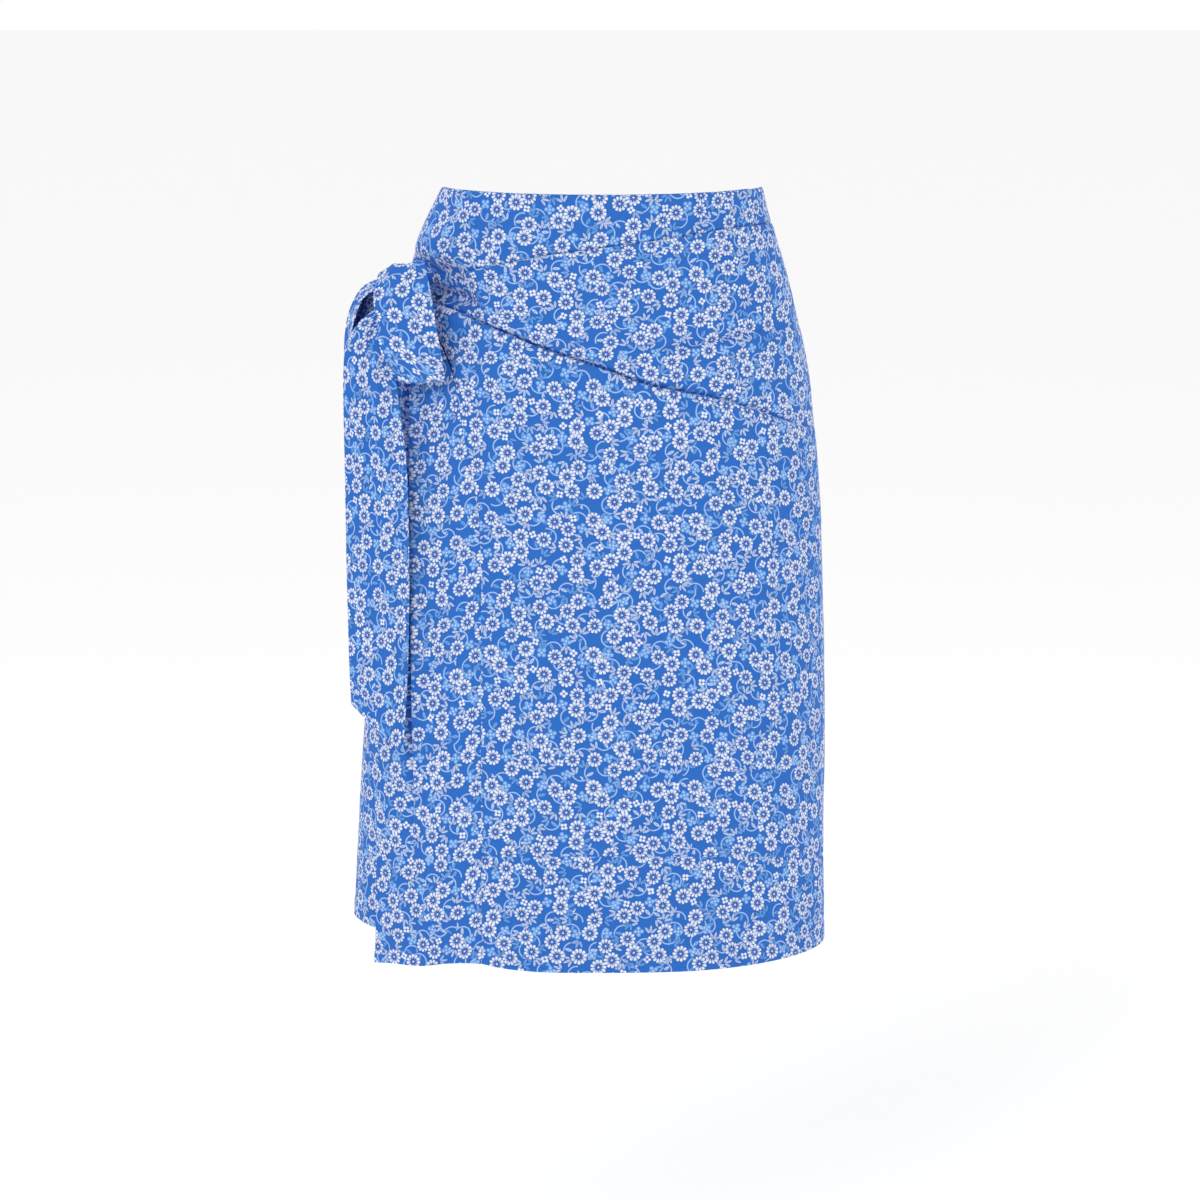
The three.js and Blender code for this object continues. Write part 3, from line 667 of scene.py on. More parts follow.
def edge_treated(across, down, edges):
    """Sewn sides turn in and pucker a little, and a hem is thicker where it is doubled."""
    distances = {
        "top": (down - down[:1], across),
        "bottom": (down[-1:] - down, across),
        "left": (across - across[:, :1], down),
        "right": (across[:, -1:] - across, down),
    }
    out = np.zeros_like(across)
    for edge in edges.split():
        side, kind = edge.split("-")
        reach, along = distances[side]
        pucker = PUCKER_DEPTH * np.sin(along / PUCKER_LENGTH) * np.sin(along / PUCKER_SLOW_LENGTH + 1)
        if kind == "seam":
            out -= SEAM_ROLL * bump_across(reach, SEAM_ROLL_WIDE)
            out -= pucker * np.exp(-reach / PUCKER_REACH)
        else:
            out += HEM_RISE * (1 - smooth_step(HEM_DEPTH - 1, HEM_DEPTH + HEM_STEP, reach))
            out -= pucker * np.exp(-np.abs(reach - HEM_DEPTH) / PUCKER_REACH)
    return out


# Where each panel's sides run, as turns at each height, and its rows, as heights at each turn
def front_sides(down):
    seam = column_curve(EDGE_LINES, "down", "seam", down) - SEAM_LAP / 2
    return turn_at(seam, down), RIGHT_SEAM


def edge_band_sides(down):
    free = column_curve(EDGE_LINES, "down", "free", down)
    seam = column_curve(EDGE_LINES, "down", "seam", down) + SEAM_LAP / 2
    return turn_at(free, down), turn_at(seam, down)


def back_sides(down):
    return SIDE_SEAM_TURN - SEAM_TURN, 360 - SIDE_SEAM_TURN + SEAM_TURN


def under_sides(down):
    return -RIGHT_SEAM, UNDER_FLAP_TURN


def front_band_sides(down):
    return BAND_END_TURN, RIGHT_SEAM


def front_guides(turn):
    """Waist seam, lines beside the tuck and the fold, and the hem seam."""
    top = line_down(BAND_EDGE, turn) - SEAM_LAP / 2
    tuck = line_down(TUCK, turn)
    fold = line_down(FOLD, turn)
    tuck_above = tuck - np.minimum(TUCK_ROWS_ABOVE, (tuck - top) / 2)
    tuck_below = tuck + np.minimum(TUCK_ROWS_BELOW, (fold - tuck) * TUCK_ROWS_SHARE)
    fold_above = fold - np.minimum(FOLD_ROWS_ABOVE, (fold - tuck) * FOLD_ROWS_SHARE)
    bottom = line_down(HEM_SEAM, turn) + SEAM_LAP / 2
    return [top, tuck_above, tuck_below, fold_above, fold + FOLD_ROWS_BELOW, fold + FOLD_ROWS_FAR, bottom]


def hem_guides(turn):
    """Hem seam, the hem's stitching and the hem."""
    hem = line_down(FLAP_HEM, turn)
    return [line_down(HEM_SEAM, turn) - SEAM_LAP / 2, hem - HEM_DEPTH - 1, hem]


def edge_band_guides(turn):
    """The edge band runs past the hem seam, from the waist seam to the hem."""
    return front_guides(turn) + hem_guides(turn)[1:]


def plain_guides(top, hem_rows):
    """Rows from a level edge down to a hem."""
    def guides(turn):
        hem = line_down(hem_rows, turn)
        return [top + 0 * turn, hem - HEM_DEPTH - 1, hem]
    return guides


def band_guides(depth):
    """Rows from the waist down to a band's level edge."""
    return lambda turn: [0 * turn, depth + 0 * turn]


def front_band_guides(turn):
    """Rows from the waist down to the edge that drops toward the knot."""
    return [0 * turn, line_down(BAND_EDGE, turn) + SEAM_LAP / 2]


def guided_rows(guides, row_counts):
    """Row heights that follow guide lines, with a set number of rows between each pair of them."""
    last = len(row_counts) - 1
    segments = np.concatenate([np.full(count, i) for i, count in enumerate(row_counts)] + [[last]])
    shares = np.concatenate([np.arange(count) / count for count in row_counts] + [[1.0]])

    def rows(turn):
        lines = np.stack(guides(turn))
        segment = np.broadcast_to(segments[:, None], turn.shape)
        low = np.take_along_axis(lines, segment[None], 0)[0]
        high = np.take_along_axis(lines, segment[None] + 1, 0)[0]
        return low + (high - low) * shares[:, None]

    return rows, len(segments)


def panel(sides, guides, row_counts, columns, shape, edges, phase, creases=None, middle=0, depth=1.0):
    """Points and print places of one panel, in millimetres, between its two sides and along its rows."""
    rows, row_count = guided_rows(guides, row_counts)
    share = np.linspace(0, 1, columns + 1)[None, :] * np.ones((row_count, 1))
    # Sides and rows depend on each other, so they are found in a few rounds
    down = np.full((row_count, columns + 1), FIRST_DOWN)
    for _ in range(SIDE_ROUNDS):
        low, high = sides(down)
        turn = low + (high - low) * share
        down = rows(turn)
    across = arc_across(turn, down, middle)
    out, lap, taken = shape(turn, down)
    out = out + settled(across, down, phase) + edge_treated(across, down, edges)
    if creases:
        out = out + depth * creased(across, down, creases)
    # Outer cloth stays clear of the inner flap, however deep a crease is
    if shape in (front_shape, front_band_shape):
        out = np.maximum(out, LEAST_OUT - under_depth(turn, down))
    points = skirt_point(turn, down + lap, out + CLOTH_WALL)
    steps = np.linalg.norm(np.diff(skirt_point(turn, down, 0), axis=0), axis=-1)
    along = down[:1] + np.concatenate([0 * down[:1], np.cumsum(steps, 0)])
    return points, np.stack([across, -along - taken], -1)


# The tie
def curve_through(values, t):
    """Catmull-Rom curve through a table's rows, at places t from 0 to the last row."""
    last = len(values) - 1
    row = np.clip(np.floor(t).astype(int), 0, last - 1)
    part = (t - row)[:, None]
    p0, p1 = values[np.maximum(row - 1, 0)], values[row]
    p2, p3 = values[row + 1], values[np.minimum(row + 2, last)]
    square = (2 * p0 - 5 * p1 + 4 * p2 - p3) * part ** 2
    cube = (3 * p1 - p0 - 3 * p2 + p3) * part ** 3
    return (2 * p1 + (p2 - p0) * part + square + cube) / 2


def strap(rows, folds, steps, phase, sewn_end=0, gathered=1.0):
    """Points and print places of a strap, a flattened tube of cloth that follows its table's two edges."""
    left, right = (np.stack([rows[side + axis] for axis in "xyz"], -1) for side in "lr")
    t = np.linspace(0, len(left) - 1, steps + 1)
    left, right = curve_through(left, t), curve_through(right, t)
    bulge = np.interp(t, np.arange(len(rows["bulge"])), rows["bulge"])[:, None]
    width, middle = right - left, (left + right) / 2
    outward = -np.cross(width, np.gradient(middle, axis=0))
    outward /= np.linalg.norm(outward, axis=1, keepdims=True)
    along = np.concatenate([[0], np.cumsum(np.linalg.norm(np.diff(middle, axis=0), axis=1))])[:, None]

    # Once round the tube: around runs from 0 to 1 on its front side and on to 2 on its back side
    around = np.linspace(0, 2, 2 * STRAP_SIDE + 1)
    even = np.minimum(around, 2 - around)
    share = STRAP_EDGE_CROWDING * (1 - np.cos(even * math.pi)) / 2 + (1 - STRAP_EDGE_CROWDING) * even
    flat_side = 1 - np.abs(2 * share - 1) ** STRAP_EDGE_POWER
    side = np.where(around <= 1, 1, -1) * flat_side * STRAP_WALL / 2
    closing = 1 - SEWN_END_THINNER * sewn_end * smooth_step(along[-1] - SEWN_END_REACH, along[-1], along)
    out = bulge * np.sin(share * math.pi) + side * closing
    for at, wide, lift, start, end, drift in zip(*folds.values()):
        fade = smooth_step(start, start + STRAP_FOLD_FADE, along)
        fade = fade * (1 - smooth_step(end - STRAP_FOLD_FADE, end, along))
        out = out + lift * fade * bump_across(share - at - drift * along / along[-1], wide)
    across = share * np.linalg.norm(width, axis=1)[:, None]
    out = out + settled(across * STRAP_SETTLE_ACROSS, along, phase)
    points = left[:, None] + width[:, None] * share[:, None] + outward[:, None] * out[..., None]
    print_across = np.where(around <= 1, across, 2 * across.max() - across)
    return points, np.stack([print_across * gathered, -(along + 0 * share)], -1)


def knot():
    """The strap wound round the bow's middle, as a band with soft ridges."""
    around = np.linspace(0, 2 * math.pi, KNOT_STEPS_ROUND + 1)[None, :]
    share = np.linspace(-KNOT_OPEN, KNOT_OPEN, KNOT_STEPS_ACROSS + 1)[:, None]
    profile = (1 - share ** 2) ** KNOT_ROUNDING
    wraps = np.cos(share * math.pi * KNOT_WRAPS + KNOT_WRAP_SWAY * np.sin(around))
    pinches = np.sin(5 * around + 6 * share) * np.cos(2 * around)
    ridges = KNOT_WRAP_DEPTH * wraps + KNOT_PINCH_DEPTH * pinches
    outward = (KNOT_OUTWARD * profile + ridges) * np.cos(around)
    tall = (KNOT_TALL * profile + ridges) * np.sin(around)
    sideways = KNOT_ACROSS * share + 0 * around
    facing = math.radians(KNOT_FACING)
    x = KNOT_AT[0] + outward * math.cos(facing) - sideways * math.sin(facing)
    y = KNOT_AT[1] + outward * math.sin(facing) + sideways * math.cos(facing)
    points = np.stack([x, y, KNOT_AT[2] + tall], -1)
    return points, np.stack([KNOT_GATHER * sideways, around * KNOT_TALL + 0 * share], -1)


# Meshes
def cloth(name, points, print_place, print_shift, ring=False):
    """A sheet as a mesh piece in metres, with its place on the print, in millimetres, as a UV map."""
    rows, columns = points.shape[:2]
    order = np.arange(rows * columns).reshape(rows, columns)
    shared = order.copy()
    if ring:
        shared[:, -1] = shared[:, 0]
    early, late = slice(None, -1), slice(1, None)
    corners = ((early, early), (late, early), (late, late), (early, late))
    faces = np.stack([shared[corner] for corner in corners], -1).reshape(-1, 4)
    places = np.stack([order[corner] for corner in corners], -1).reshape(-1)
    mesh = bpy.data.meshes.new(name)
    mesh.from_pydata((points.reshape(-1, 3) * MM).tolist(), [], faces.tolist())
    uv = mesh.uv_layers.new(name=PRINT_MAP)
    uv.data.foreach_set("uv", (print_place.reshape(-1, 2)[places] + print_shift).ravel())
    piece = bpy.data.objects.new(name, mesh)
    bpy.context.scene.collection.objects.link(piece)
    return piece


def has_loose_points(piece):
    """True where closing a ring has left points that no face uses."""
    used = {corner for face in piece.data.polygons for corner in face.vertices}
    return len(used) < len(piece.data.vertices)


def finish_piece(piece, used_materials, wall=None):
    """Gives a sheet its thickness, inward, and every piece its materials and a smooth surface."""
    bpy.ops.object.select_all(action="DESELECT")
    piece.select_set(True)
    bpy.context.view_layer.objects.active = piece
    for material in used_materials:
        piece.data.materials.append(material)
    if has_loose_points(piece):
        bpy.ops.object.mode_set(mode="EDIT")
        bpy.ops.mesh.select_all(action="SELECT")
        bpy.ops.mesh.delete_loose()
        bpy.ops.object.mode_set(mode="OBJECT")
    if wall:
        thickness = piece.modifiers.new("thickness", "SOLIDIFY")
        thickness.thickness = wall * MM
        thickness.offset = -1
        thickness.use_even_offset = False
        # The second material is the wrong side's, and the third is the edge's
        thickness.material_offset = 1
        thickness.material_offset_rim = 2
        bpy.ops.object.modifier_apply(modifier="thickness")
    bpy.ops.object.shade_smooth_by_angle(angle=math.radians(SMOOTH_BELOW))


def edge_last(points, edge):
    """A panel's points turned so that its bottom, left or right edge is their last row."""
    if edge == "left":
        return points.transpose(1, 0, 2)[::-1]
    if edge == "right":
        return points.transpose(1, 0, 2)[:, ::-1]
    return points


def inset_line(points, inset):
    """A line on a sheet at a set distance in from its last row, and the way out of the cloth along it."""
    across, down = np.gradient(points, axis=1), np.gradient(points, axis=0)
    outward = np.cross(down, across)
    outward /= np.linalg.norm(outward, axis=-1, keepdims=True)
    steps = np.linalg.norm(np.diff(points[::-1], axis=0), axis=-1)
    reach = np.concatenate([0 * steps[:1], np.cumsum(steps, axis=0)])
    lines = []
    for values in (points[::-1], outward[::-1]):
        lines.append([
            [np.interp(inset, reach[:, column], values[:, column, axis]) for axis in range(3)]
            for column in range(points.shape[1])
        ])
    return np.array(lines[0]), np.array(lines[1])


def stitch_row(line, outward, stitch):
    """Short threads end to end along a line, each one dipping into the cloth at both ends."""
    reach = np.concatenate([[0], np.cumsum(np.linalg.norm(np.diff(line, axis=0), axis=1))])
    count = int(reach[-1] // (stitch + STITCH_GAP))
    starts = (np.arange(count) * (stitch + STITCH_GAP) + STITCH_GAP)[:, None]
    places = starts + stitch * STITCH_SHARES[None, :]
    middle = np.stack([np.interp(places, reach, line[:, axis]) for axis in range(3)], -1)
    out = np.stack([np.interp(places, reach, outward[:, axis]) for axis in range(3)], -1)
    along = np.gradient(middle, axis=1)
    along /= np.linalg.norm(along, axis=-1, keepdims=True)
    side = np.cross(along, out)
    height = THREAD_RADIUS * (STITCH_RISE * np.sin(STITCH_SHARES * math.pi) - STITCH_SINK)
    middle = middle + out * height[None, :, None]
    turns = np.linspace(0, 2 * math.pi, THREAD_SIDES, endpoint=False)
    ring = side[:, :, None] * np.cos(turns)[:, None] + out[:, :, None] * np.sin(turns)[:, None]
    points = middle[:, :, None] + THREAD_RADIUS * ring
    order = np.arange(count * len(STITCH_SHARES) * THREAD_SIDES).reshape(count, -1, THREAD_SIDES)
    after = np.roll(order, -1, axis=2)
    faces = np.stack([order[:, :-1], after[:, :-1], after[:, 1:], order[:, 1:]], -1).reshape(-1, 4)
    ends = np.concatenate([order[:, 0, ::-1], order[:, -1]])
    return points.reshape(-1, 3), faces.tolist() + ends.tolist()


def sewn(name, rows, material, stitch):
    """All the stitching on one piece of cloth, joined in one mesh."""
    points, faces, count = [], [], 0
    for line, outward in rows:
        row_points, row_faces = stitch_row(line, outward, stitch)
        points.append(row_points)
        faces += [[corner + count for corner in face] for face in row_faces]
        count += len(row_points)
    mesh = bpy.data.meshes.new(name)
    mesh.from_pydata((np.concatenate(points) * MM).tolist(), [], faces)
    piece = bpy.data.objects.new(name, mesh)
    bpy.context.scene.collection.objects.link(piece)
    finish_piece(piece, [material])
    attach(piece, "root")
    return piece


# Materials
def linear(colour):
    """An sRGB hex colour as the linear values that a shader takes."""
    parts = [int(colour[i:i + 2], 16) / 255 for i in (1, 3, 5)]
    return [p / 12.92 if p <= 0.04045 else ((p + 0.055) / 1.055) ** 2.4 for p in parts] + [1.0]


def add(tree, kind, *inputs, **settings):
    """A new node with its settings, and its inputs in order, as values or links. Gives its first output."""
    node = tree.nodes.new("ShaderNode" + kind)
    for name, value in settings.items():
        setattr(node, name, value)
    sockets = [socket for socket in node.inputs if socket.enabled]
    for socket, value in zip(sockets, inputs):
        if isinstance(value, bpy.types.NodeSocket):
            tree.links.new(value, socket)
        elif value is not None:
            socket.default_value = value
    return next(socket for socket in node.outputs if socket.enabled)


def inside(tree, distance, edge, soft):
    """1 inside an edge, 0 outside it, with a soft change between."""
    return add(tree, "MapRange", distance, edge - soft, edge + soft, 1.0, 0.0)


def laid_on(tree, colour, mask, below):
    """One printed colour laid on what is below it, wherever the mask is 1."""
    top = linear(colour) if isinstance(colour, str) else colour
    return add(tree, "Mix", mask, below, top, data_type="RGBA")


def from_centre(tree, place, x, y):
    """Vector from a charted motif, or from its nearest repeat, to the place on the cloth."""
    half = tuple(side / 2 for side in REPEAT)
    moved = add(tree, "VectorMath", place, (-x, -y, 0), operation="ADD")
    return add(tree, "VectorMath", moved, half, tuple(-side for side in half), operation="WRAP")


def nearest(tree, place, centres):
    """Vector from the nearest of several charted motifs, and its length."""
    best, shortest = None, None
    for x, y in centres:
        local = from_centre(tree, place, x, y)
        length = add(tree, "VectorMath", local, operation="LENGTH")
        if best is None:
            best, shortest = local, length
            continue
        closer = add(tree, "Math", length, shortest, operation="LESS_THAN")
        best = add(tree, "Mix", closer, best, local, data_type="VECTOR")
        shortest = add(tree, "Math", length, shortest, operation="MINIMUM")
    return best, shortest


def motif(tree, place, centres):
    """The nearest motif's own directions, the distance to its middle, and its own chance, which turns it."""
    local, length = nearest(tree, place, centres)
    centre = add(tree, "VectorMath", place, local, operation="SUBTRACT")
    centre = add(tree, "VectorMath", centre, (0.5, 0.5, 0.5), operation="ADD")
    centre = add(tree, "VectorMath", centre, (1, 1, 1), operation="SNAP")
    chance = add(tree, "TexWhiteNoise", centre, noise_dimensions="3D")
    angle = add(tree, "Math", chance, CHANCE_TURNS, operation="MULTIPLY")
    turned = add(tree, "VectorRotate", local, None, angle, rotation_type="Z_AXIS")
    return turned, length, chance


def four_petals(tree, local, reach):
    """Distance to the nearest of four round petals that stand at the corners of a square."""
    folded = add(tree, "VectorMath", local, operation="ABSOLUTE")
    return add(tree, "VectorMath", folded, (reach, reach, 0), operation="DISTANCE")


def leaf_edge(tree, local, leaves, size):
    """Distance to the edge of the nearest of several pointed leaves, less than 0 inside it."""
    # A leaf is where two circles of one size cross
    half_long, half_wide = size
    circle = (half_long ** 2 + half_wide ** 2) / (2 * half_wide)
    aside = circle - half_wide
    nearest_edge = None
    for x, y, angle in leaves:
        turn = (0, 0, math.radians(angle))
        own = add(tree, "Mapping", local, (x, y, 0), turn, (1, 1, 1), vector_type="TEXTURE")
        above = add(tree, "VectorMath", own, (0, aside, 0), operation="DISTANCE")
        below = add(tree, "VectorMath", own, (0, -aside, 0), operation="DISTANCE")
        edge = add(tree, "Math", above, below, operation="MAXIMUM")
        if nearest_edge is not None:
            edge = add(tree, "Math", nearest_edge, edge, operation="MINIMUM")
        nearest_edge = edge
    return add(tree, "Math", nearest_edge, -circle, operation="ADD")


def sprigs(tree, place, below):
    """Thin curved stems with pointed leaves, white on some and pale blue on others."""
    local, _, chance = motif(tree, place, SPRIGS)
    # Both halves of a sprig are drawn at once, one turned half round on the other
    lean = add(tree, "VectorMath", local, (1, -1, 0), operation="DOT_PRODUCT")
    half = add(tree, "Math", lean, operation="SIGN")
    folded = add(tree, "VectorMath", local, None, None, half, operation="SCALE")
    x, y, radius = STEM_ARC
    stem = add(tree, "VectorMath", folded, (x, y, 0), operation="DISTANCE")
    stem = add(tree, "Math", stem, -radius, operation="ADD")
    stem = add(tree, "Math", stem, operation="ABSOLUTE")
    past_end = add(tree, "VectorMath", local, operation="LENGTH")
    past_end = add(tree, "Math", past_end, -SPRIG_REACH, operation="ADD")
    stem = add(tree, "Math", stem, past_end, operation="MAXIMUM")
    leaf = leaf_edge(tree, folded, SPRIG_LEAVES, SPRIG_LEAF)
    white = add(tree, "MapRange", chance, *SPRIG_WHITE)
    leaf_colour = laid_on(tree, LEAF_WHITE, white, linear(PALE_BLUE))
    shade = laid_on(tree, STEM, inside(tree, stem, *STEM_EDGE), below)
    shade = laid_on(tree, leaf_colour, inside(tree, leaf, *LEAF_EDGE), shade)
    return laid_on(tree, GAP_BLUE, inside(tree, leaf, *SPRIG_VEIN), shade)


def leaf_sprays(tree, place, below):
    """Three leaves that fan out from one point, mostly pale blue, in a dark edge."""
    local, _, chance = motif(tree, place, LEAF_SPRAYS)
    raised = add(tree, "VectorMath", local, (0, SPRAY_UP, 0), operation="ADD")
    folded = add(tree, "VectorMath", raised, operation="ABSOLUTE")
    leaf = leaf_edge(tree, folded, SPRAY_LEAVES, SPRAY_LEAF)
    blue = add(tree, "MapRange", chance, *SPRAY_BLUE)
    leaf_colour = laid_on(tree, PALE_BLUE, blue, linear(LEAF_WHITE))
    shade = laid_on(tree, GROUND_DARK, add(tree, "MapRange", leaf, *SPRAY_HALO), below)
    shade = laid_on(tree, leaf_colour, inside(tree, leaf, *LEAF_EDGE), shade)
    return laid_on(tree, EYE_BLUE, inside(tree, leaf, *SPRAY_VEIN), shade)


def small_flowers(tree, place, white, below):
    """Pale blue flowers of four petals, lighter inside, with a white dot."""
    local, length, _ = motif(tree, place, SMALL_FLOWERS)
    petals = four_petals(tree, local, SMALL_FLOWER_REACH)
    shade = laid_on(tree, PALE_BLUE, inside(tree, petals, *SMALL_FLOWER_EDGE), below)
    shade = laid_on(tree, LEAF_WHITE, inside(tree, petals, *SMALL_FLOWER_MIDDLE), shade)
    return laid_on(tree, white, inside(tree, length, *SMALL_FLOWER_DOT), shade)


def buds(tree, place, white, below):
    """Small white flowers of four petals with a dark dot."""
    local, length, _ = motif(tree, place, BUDS)
    petals = four_petals(tree, local, BUD_REACH)
    shade = laid_on(tree, white, inside(tree, petals, *BUD_EDGE), below)
    return laid_on(tree, EYE_DARK, inside(tree, length, *BUD_DOT), shade)


def daisies(tree, place, white, below):
    """White daisies in a soft dark edge, each turned its own way."""
    local, length, chance = motif(tree, place, DAISIES)
    # A petal is 0 along its middle and 1 at the gap beside it
    x = add(tree, "VectorMath", local, (1, 0, 0), operation="DOT_PRODUCT")
    y = add(tree, "VectorMath", local, (0, 1, 0), operation="DOT_PRODUCT")
    angle = add(tree, "Math", y, x, operation="ARCTAN2")
    petal = add(tree, "Math", angle, DAISY_PETALS / math.tau, operation="MULTIPLY")
    petal = add(tree, "Math", petal, operation="FRACT")
    petal = add(tree, "Math", petal, 2.0, -1.0, operation="MULTIPLY_ADD")
    petal = add(tree, "Math", petal, operation="ABSOLUTE")

    # Petal tips are round with a small notch
    tip = add(tree, "Math", petal, PETAL_TIP_POWER, operation="POWER")
    size = add(tree, "Math", chance, DAISY_SPREAD, DAISY_RADIUS, operation="MULTIPLY_ADD")
    rim = add(tree, "Math", tip, -PETAL_TIP_DEPTH, size, operation="MULTIPLY_ADD")
    rim = add(tree, "Math", rim, add(tree, "MapRange", petal, *PETAL_NOTCH), operation="ADD")
    beyond = add(tree, "Math", length, rim, operation="SUBTRACT")
    shade = laid_on(tree, GROUND_DARK, add(tree, "MapRange", beyond, *DAISY_HALO), below)
    shade = laid_on(tree, white, inside(tree, beyond, *DAISY_EDGE), shade)

    # Petals are bluer toward the eye, and the gaps between them open toward the tips
    on_petals = inside(tree, beyond, *PETAL_SHADE_EDGE)
    base = add(tree, "MapRange", length, *PETAL_BASE_FADE)
    base = add(tree, "Math", base, on_petals, operation="MULTIPLY")
    shade = laid_on(tree, PETAL_BASE, base, shade)
    gap = add(tree, "Math", petal, add(tree, "MapRange", length, *PETAL_GAP_FROM), operation="SUBTRACT")
    gap = add(tree, "MapRange", gap, *PETAL_GAP_FADE)
    gap = add(tree, "Math", gap, on_petals, operation="MULTIPLY")
    shade = laid_on(tree, GAP_BLUE, gap, shade)

    # The eye is blue with dark streaks that run out into the petals, and a white dot in the middle
    streaks = add(tree, "Math", angle, DAISY_PETALS - 2, operation="MULTIPLY")
    streaks = add(tree, "Math", streaks, operation="SINE")
    eye_edge = add(tree, "Math", streaks, -EYE_WAVE, length, operation="MULTIPLY_ADD")
    shade = laid_on(tree, EYE_BLUE, inside(tree, eye_edge, *EYE_EDGE), shade)
    off_ring = add(tree, "Math", length, -EYE_RING, operation="ADD")
    off_ring = add(tree, "Math", off_ring, operation="ABSOLUTE")
    dark = add(tree, "MapRange", streaks, *EYE_STREAK_FADE)
    dark = add(tree, "Math", dark, inside(tree, off_ring, *EYE_RING_EDGE), operation="MULTIPLY")
    shade = laid_on(tree, EYE_DARK, dark, shade)
    return laid_on(tree, white, inside(tree, length, *EYE_DOT), shade)


def flower_print(settings):
    """Small daisies, four-petalled flowers, leaves and stems on cornflower blue, placed by the chart."""
    group = bpy.data.node_groups.new("small flower print", "ShaderNodeTree")
    group.interface.new_socket("Place", in_out="INPUT", socket_type="NodeSocketVector")
    group.interface.new_socket("Colour", in_out="OUTPUT", socket_type="NodeSocketColor")
    place = group.nodes.new("NodeGroupInput").outputs[0]
    # Every edge wavers a little, as if the print were cut by hand
    waver = add(group, "TexNoise", place, None, WAVER_SCALE, WAVER_DETAIL).node.outputs["Color"]
    waver = add(group, "VectorMath", waver, (0.5, 0.5, 0.5), operation="SUBTRACT")
    place = add(group, "VectorMath", waver, (WAVER_REACH, WAVER_REACH, 0), place, operation="MULTIPLY_ADD")
    # The ground prints a little unevenly, so its blue isn't quite flat
    patches = add(group, "TexNoise", place, None, PATCH_SCALE, PATCH_DETAIL)
    white = tuple(settings.petal_colour)
    shade = laid_on(group, tuple(settings.ground_colour), patches, linear(GROUND_DEEP))
    shade = sprigs(group, place, shade)
    shade = leaf_sprays(group, place, shade)
    shade = small_flowers(group, place, white, shade)
    shade = buds(group, place, white, shade)
    shade = daisies(group, place, white, shade)
    end = group.nodes.new("NodeGroupOutput")
    group.links.new(shade, end.inputs[0])
    return group


def poplin(name, printed, shows, size):
    """Printed cotton poplin: matt, a little fuzzy at grazing light, with a fine crossed weave."""
    material = bpy.data.materials.new(name)
    material.use_nodes = True
    tree = material.node_tree
    surface = tree.nodes["Principled BSDF"]
    for socket, value in POPLIN_SURFACE.items():
        surface.inputs[socket].default_value = value
    place = add(tree, "UVMap", uv_map=PRINT_MAP)
    place = add(tree, "VectorMath", place, None, None, 1 / size, operation="SCALE")
    colour = add(tree, "Group", place, node_tree=printed)
    # The wrong side shows the print faintly, through the undyed back of the cloth
    colour = add(tree, "Mix", shows, linear(WRONG_SIDE), colour, data_type="RGBA")
    tree.links.new(colour, surface.inputs["Base Color"])
    # Warp and weft threads, drawn a little coarser than the real 0.25 mm so that they show close up
    warp = add(tree, "VectorMath", place, (math.tau / WEAVE_STEP, 0, 0), operation="DOT_PRODUCT")
    weft = add(tree, "VectorMath", place, (0, math.tau / WEAVE_STEP, 0), operation="DOT_PRODUCT")
    warp = add(tree, "Math", warp, operation="SINE")
    weft = add(tree, "Math", weft, operation="SINE")
    weave = add(tree, "Math", warp, weft, operation="MULTIPLY")
    bump = tree.nodes.new("ShaderNodeBump")
    bump.inputs["Strength"].default_value = WEAVE_STRENGTH
    bump.inputs["Distance"].default_value = WEAVE_DEPTH * MM
    tree.links.new(weave, bump.inputs["Height"])
    tree.links.new(bump.outputs[0], surface.inputs["Normal"])
    return material


def plain(name, colour, roughness):
    """A plain matt material of one colour."""
    material = bpy.data.materials.new(name)
    material.use_nodes = True
    surface = material.node_tree.nodes["Principled BSDF"]
    surface.inputs["Base Color"].default_value = colour
    surface.inputs["Roughness"].default_value = roughness
    surface.inputs["Specular IOR Level"].default_value = PLAIN_GLOSS
    return material


def cloths_and_thread(settings):
    """The cloth's right side, wrong side and edge, and the thread, made once and shared by all pieces."""
    if MATERIAL_NAMES[0] not in bpy.data.materials:
        right_side, wrong_side, edge, thread = MATERIAL_NAMES
        printed = flower_print(settings)
        poplin(right_side, printed, 1.0, settings.print_size)
        poplin(wrong_side, printed, WRONG_SIDE_SHOWS, settings.print_size)
        # Folded and cut edges deep in the seams. They are the cloth's own edges, coloured a darker blue than
        # the ground as painted shade of the seam
        plain(edge, linear(GROUND_DARK), EDGE_ROUGHNESS)
        # Matt spun polyester sewing thread, dyed to the ground
        plain(thread, tuple(settings.thread_colour), THREAD_ROUGHNESS)
    return [bpy.data.materials[name] for name in MATERIAL_NAMES]


# Pieces
def skirt_cloth(name, node, flat, print_shift, area=None, stitched=(), **cut):
    """One panel or band, cut from its own place on the print: its cloth and its stitching."""
    settings = bpy.context.scene.wrap_skirt
    *cloths, thread = cloths_and_thread(settings)
    points, print_place = panel(depth=settings.crease_depth, **cut)
    piece = cloth(name, points, print_place, print_shift)
    finish_piece(piece, cloths, CLOTH_WALL)
    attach(piece, "root")
    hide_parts(node)
    with_pieces = []
    if stitched:
        rows = [inset_line(edge_last(points, edge), inset) for edge, inset in stitched]
        with_pieces = [sewn(name + "_stitching", rows, thread, settings.stitch_length / MM)]


def tie_cloth(name, node, made, print_shift):
    """One length of the tie, a tube of cloth that is open inside."""
    cloths = cloths_and_thread(bpy.context.scene.wrap_skirt)[:3]
    points, print_place = made
    piece = cloth(name, points, print_place, print_shift, ring=True)
    finish_piece(piece, cloths, TIE_CLOTH_WALL)
    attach(piece, "root")
    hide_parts(node)


